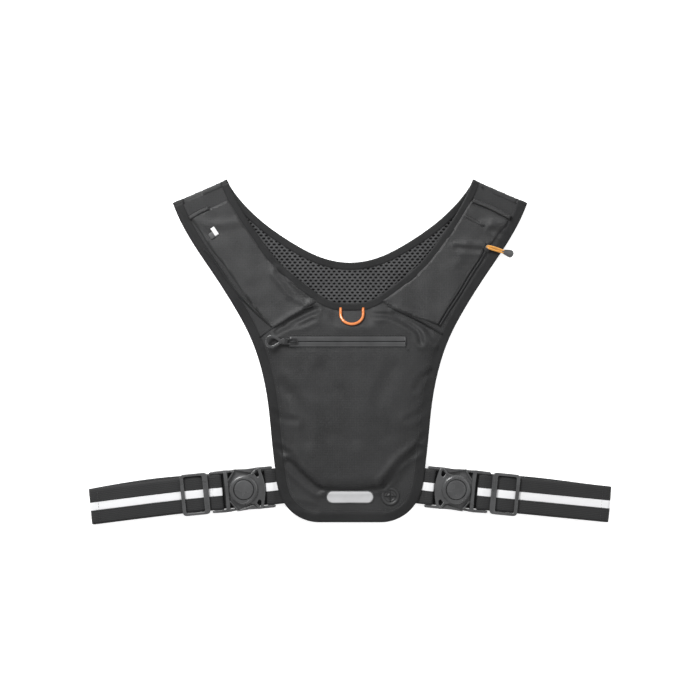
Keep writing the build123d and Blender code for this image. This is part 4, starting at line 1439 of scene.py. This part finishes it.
def adjuster(side):
    """A three-bar slide in a rounded frame: two bars over the webbing and one under it."""
    name = side_name(side)
    low, high = corners("right_strap_adjuster")
    z0, z1 = low[2], high[2]
    c = slide_u()
    half = 15.0
    outside = rounded([(c - half, -22.4), (c + half, -22.4), (c + half, 22.4), (c - half, 22.4)], 5.0, 7)
    near, far = c - half + 6.0, c + half - 4.0
    window = rounded([(near, -19.35), (far, -19.35), (far, 19.35), (near, 19.35)], 2.2)
    shapes = [moulding([outside, window], z1 - 2.0, z1, 0.8)]
    near, far = c - half + 2.5, c + half - 2.5
    for s in (-1, 1):
        rail = facing([(near, 19.4), (far, 19.4), (far, 22.2), (near, 22.2)], s)
        shapes.append(moulding([rounded(rail, 1.4)], z0, z1 - 0.6, 0.5))
    for k in range(5):
        u = c - half + 1.6 + k * 0.75
        shapes.append(block(u, u + 0.35, -16, 16, z1 - 0.3, z1 + 0.12, 0.1))
    shapes.append(block(c - 1.5, c + 2.5, -20, 20, z0, z0 + 1.9, 0.6))
    verts, faces = join_shapes(shapes)
    body = f"{name}_adjuster"
    piece = strap_piece("slide_adjuster", (verts, faces), PLASTIC, body, "buckle", side, crisp=True)
    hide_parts(f"{name}_strap_adjuster")


def slide_u():
    return hypot(slide_bar[0] - button[0], slide_bar[1] - button[1])


def buckle_base(side):
    """The strap's half: a slotted plate, ribs to an upright bar, side rails and a webbing bar."""
    name = side_name(side)
    z0, z1 = corners("right_buckle_base")[0][2], corners("right_buckle_base")[1][2]
    plate_top = z0 + 2.8
    half = [(-12.5, 14.6), (-6, 18.4), (7, 20.8), (20.5, 21.7)]
    slot = 6.6
    notch = [(slot * cos(t), slot * sin(t)) for t in np.radians(np.linspace(85, -85, 15))]
    edge = rounded(facing(half, -1) + half[::-1], 2.0) + [(-12.5, slot)] + notch + [(-12.5, -slot)]
    holes = []
    for s in (-1, 1):
        holes.append(rounded([(10.2, s * 19.0), (16.4, s * 19.8), (15.6, s * 12.6)], 1.2))
    shapes = [moulding([edge] + holes, z0, plate_top, 0.5)]
    for s in (-1, 1):
        rib = facing([(8.0, 20.6), (9.6, 20.9), (16.8, 11.4), (15.2, 10.9)], s)
        shapes.append(moulding([rounded(rib, 0.6)], plate_top - 0.4, z1 + 0.4, 0.5))
        rail = [(14, 19.4), (33.5, 19.4), (35.4, 19.6), (36.0, 20.8), (34.6, 22.1), (20, 22.6), (14, 22.2)]
        rail = facing(rail, s)
        shapes.append(moulding([rounded(rail, 0.8)], z0 + 0.6, z1 + 0.2, 0.7))
        lip = [(-13, 15.4), (-4, 19.0), (8, 20.9), (20, 21.9), (20, 22.5), (8, 21.8), (-4, 20.0),
               (-13.6, 16.2)]
        lip = facing(lip, s)
        shapes.append(moulding([rounded(lip, 0.3)], z0 - 0.1, z0 + 2.0, 0.3))
    upright = [(16.6, -21.2), (20.8, -21.2), (20.0, 0), (20.8, 21.2), (16.6, 21.2), (15.8, 0)]
    shapes.append(moulding([rounded(upright, 1.0)], plate_top - 0.4, z1 + 0.3, 0.9))
    shapes.append(block(24, 29.5, -20.3, 20.3, z0 + 0.9, z0 + 2.8, 0.8))
    verts, faces = join_shapes(shapes)
    body = f"{name}_strap"
    piece = strap_piece("buckle_slotted_half", (verts, faces), PLASTIC, body, "buckle", side, crisp=True)
    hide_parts(f"{name}_buckle_base")


def buckle_top(side):
    """The vest's half: a ring round the button, a crescent with two windows, arms and a webbing bar."""
    name = side_name(side)
    body = f"{name}_buckle_top"
    z0 = corners("right_buckle_top")[0][2] + 3.0
    top = corners("right_buckle_top")[1][2]
    r = 15.7
    ring = [(11.0, z0 + 0.8), (10.9, top - 0.9), (11.3, top - 0.2), (12.2, top), (13.4, top - 0.1),
            (14.6, top - 0.7), (r - 0.2, top - 1.8), (r, top - 3.0), (r, z0 + 0.4), (r - 0.6, z0),
            (6.4, z0), (6.0, z0 + 0.4), (6.0, z0 + 0.8)]
    shapes = [lathe(ring, sides=64)]
    boss = [(0, z0 - 3.0), (5.4, z0 - 3.0), (6.0, z0 - 2.4), (6.0, z0 + 0.6), (0, z0 + 0.6)]
    shapes.append(lathe(boss, sides=40))
    outer = [(-23.0 + 4.2 * (abs(v) / 21.6) ** 2, v) for v in np.linspace(21.6, -21.6, 15)]
    half = [(-4, 15.0), (-9.5, 16.6), (-14, 21.2)]
    crescent = outer + facing(half, -1)[::-1] + [(-6.5, 0)] + half
    window = [(-11.4, 16.9), (-16.6, 19.4), (-17.6, 13.6), (-15.4, 11.9)]
    windows = [rounded(facing(window, s), 1.2) for s in (-1, 1)]
    shapes.append(moulding([crescent] + windows, z0 + 0.1, top - 2.3, 0.9))
    for s in (-1, 1):
        arm = facing([(-14.5, 21.2), (-10.0, 15.2), (-11.6, 14.4), (-16.6, 20.6)], s)
        shapes.append(moulding([rounded(arm, 0.5)], z0 + 1.0, top - 1.7, 0.6))
        rail = facing([(-13, 19.4), (-31.6, 19.4), (-32.6, 20.6), (-31.4, 22.2), (-13, 22.4)], s)
        shapes.append(moulding([rounded(rail, 0.8)], z0 - 1.2, top - 4.0, 0.7))
        horn = [(-9.0, 17.0), (3, 20.2), (9.5, 21.9), (9.5, 22.7), (-4, 21.8), (-14, 22.2), (-14, 20.8)]
        horn = facing(horn, s)
        shapes.append(moulding([rounded(horn, 0.5)], z0 + 0.3, z0 + 2.2, 0.5))
    shapes.append(block(-30, -25, -20.3, 20.3, z0 - 1.5, z0 + 0.7, 0.8))
    verts, faces = join_shapes(shapes)
    piece = strap_piece("buckle_ring_half", (verts, faces), PLASTIC, body, "buckle", side, crisp=True)
    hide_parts(f"{name}_buckle_top")
    bead = [(13.0, top - 0.25), (13.3, top + 0.1), (13.6, top - 0.25), (13.3, top - 0.5)]
    strap_piece("ring_bead", lathe(bead, sides=64), PLASTIC, body, "buckle", side)

    face = corners("right_buckle_button")[1][2]
    dish = [(0, -0.45), (6, -0.35), (8.6, -0.05), (9.4, 0.02), (10.1, -0.25), (10.4, -0.9),
            (10.4, -2.7), (11.5, -2.8), (11.5, -3.8), (0, -3.8)]
    shape = lathe([(across, face + h) for across, h in dish], sides=64)
    piece = strap_piece("press_button", shape, PLASTIC, f"{name}_buckle_button", "buckle", side, crisp=True)
    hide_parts(f"{name}_buckle_button")
    coil = []
    for t in np.linspace(0, 1, 90):
        a = t * 2.5 * tau
        coil.append((8.1 * cos(a), 8.1 * sin(a), z0 + 1.15 + t * 0.9))
    piece = strap_piece("spring_coil", tube(coil, 0.32, 6), STEEL, body, "steel", side)
    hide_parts(f"{name}_button_spring")


def strap_stub(side):
    """The short webbing loop sewn into the front panel's side, round the buckle's bar."""
    name = side_name(side)
    upper, lower = 8.05, 4.15
    seat = front_top - 1.4
    mid, wrap_r = (upper + lower) / 2, (upper - lower) / 2
    path = [(-46, seat - 1.5), (-38, seat - 0.9), (-34.5, seat), (-31, upper - 0.2)]
    path += arc_points(-26, mid, wrap_r, 90, -90)
    path += [(-31, lower), (-36, lower + 0.1), (-46, lower + 0.1)]
    shape, uv = web_shape(path, sway=0.3, seed=side * 7.7, step=1.5)
    web = strap_piece("stub_web", shape, WEBBING, None, "webbing", side, uv=uv)
    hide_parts(f"{name}_strap_stub")
    line = [(-38.5, seat + 0.1), (-34.5, seat + 0.95), (-31, upper + 0.72)]
    line += arc_points(-26, mid, wrap_r + 0.86, 88, 20)
    shape, uv = web_shape(line, thick=0.24, half=4.2, sway=0.3, seed=side * 7.7, across=5, step=1.5)
    band = strap_piece("stub_reflector", shape, REFLECTIVE, None, "reflective", side, uv=uv)
    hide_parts(f"{name}_stub_stripe")
    for piece in (web, band):
        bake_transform(piece)


# ================================================================ stage, light and camera
def stage():
    floor = Shader("floor", (0.9, 0.9, 0.9), 0.9, specular=0.1)
    floor.bsdf.inputs["Emission Color"].default_value = (1, 1, 1, 1)
    floor.bsdf.inputs["Emission Strength"].default_value = 0.6
    mesh = bpy.data.meshes.new("floor")
    reach = 30.0
    square = [(-reach, -reach, 0), (reach, -reach, 0), (reach, reach, 0), (-reach, reach, 0)]
    mesh.from_pydata(square, [], [(0, 1, 2, 3)])
    mesh.materials.append(floor.mat)
    obj = bpy.data.objects.new("floor", mesh)
    obj.location.z = -0.0004
    bpy.context.scene.collection.objects.link(obj)


def lights():
    world = bpy.data.worlds.new("studio")
    world.use_nodes = True
    back = world.node_tree.nodes["Background"]
    back.inputs["Color"].default_value = (1, 1, 1, 1)
    back.inputs["Strength"].default_value = 0.52
    bpy.context.scene.world = world
    for name, spot, size, power in (("key", (-0.8, 1.2, 1.15), 0.7, 46), ("fill", (1.3, 0.4, 1.3), 1.4, 9),
                                    ("front", (0.1, -1.4, 1.3), 1.4, 4)):
        light = bpy.data.lights.new(name, "AREA")
        light.size = size
        light.energy = power
        obj = bpy.data.objects.new(name, light)
        obj.location = spot
        obj.rotation_euler = (-Vector(spot)).to_track_quat("-Z", "Y").to_euler()
        bpy.context.scene.collection.objects.link(obj)


def camera():
    """Straight above, with the hem at the bottom of the picture."""
    cam = bpy.data.cameras.new("camera")
    cam.lens = 110
    cam.clip_end = 60
    obj = bpy.data.objects.new("camera", cam)
    width = 0.749
    distance = width * cam.lens / cam.sensor_width
    obj.location = (0, 0, distance + 0.008)
    bpy.context.scene.collection.objects.link(obj)
    bpy.context.scene.camera = obj
    bpy.context.scene.view_settings.view_transform = "Standard"


camera()
stage()
lights()
back_panel()
shoulder_folds()
front_panel()
shoulder_pockets()
reflective_tag()
pouch_trim()
cable_port()
main_zip()
key_loop()
side_zip()
for side in (1, -1):
    strap_webbing(side)
    adjuster(side)
    buckle_base(side)
    buckle_top(side)
    strap_stub(side)
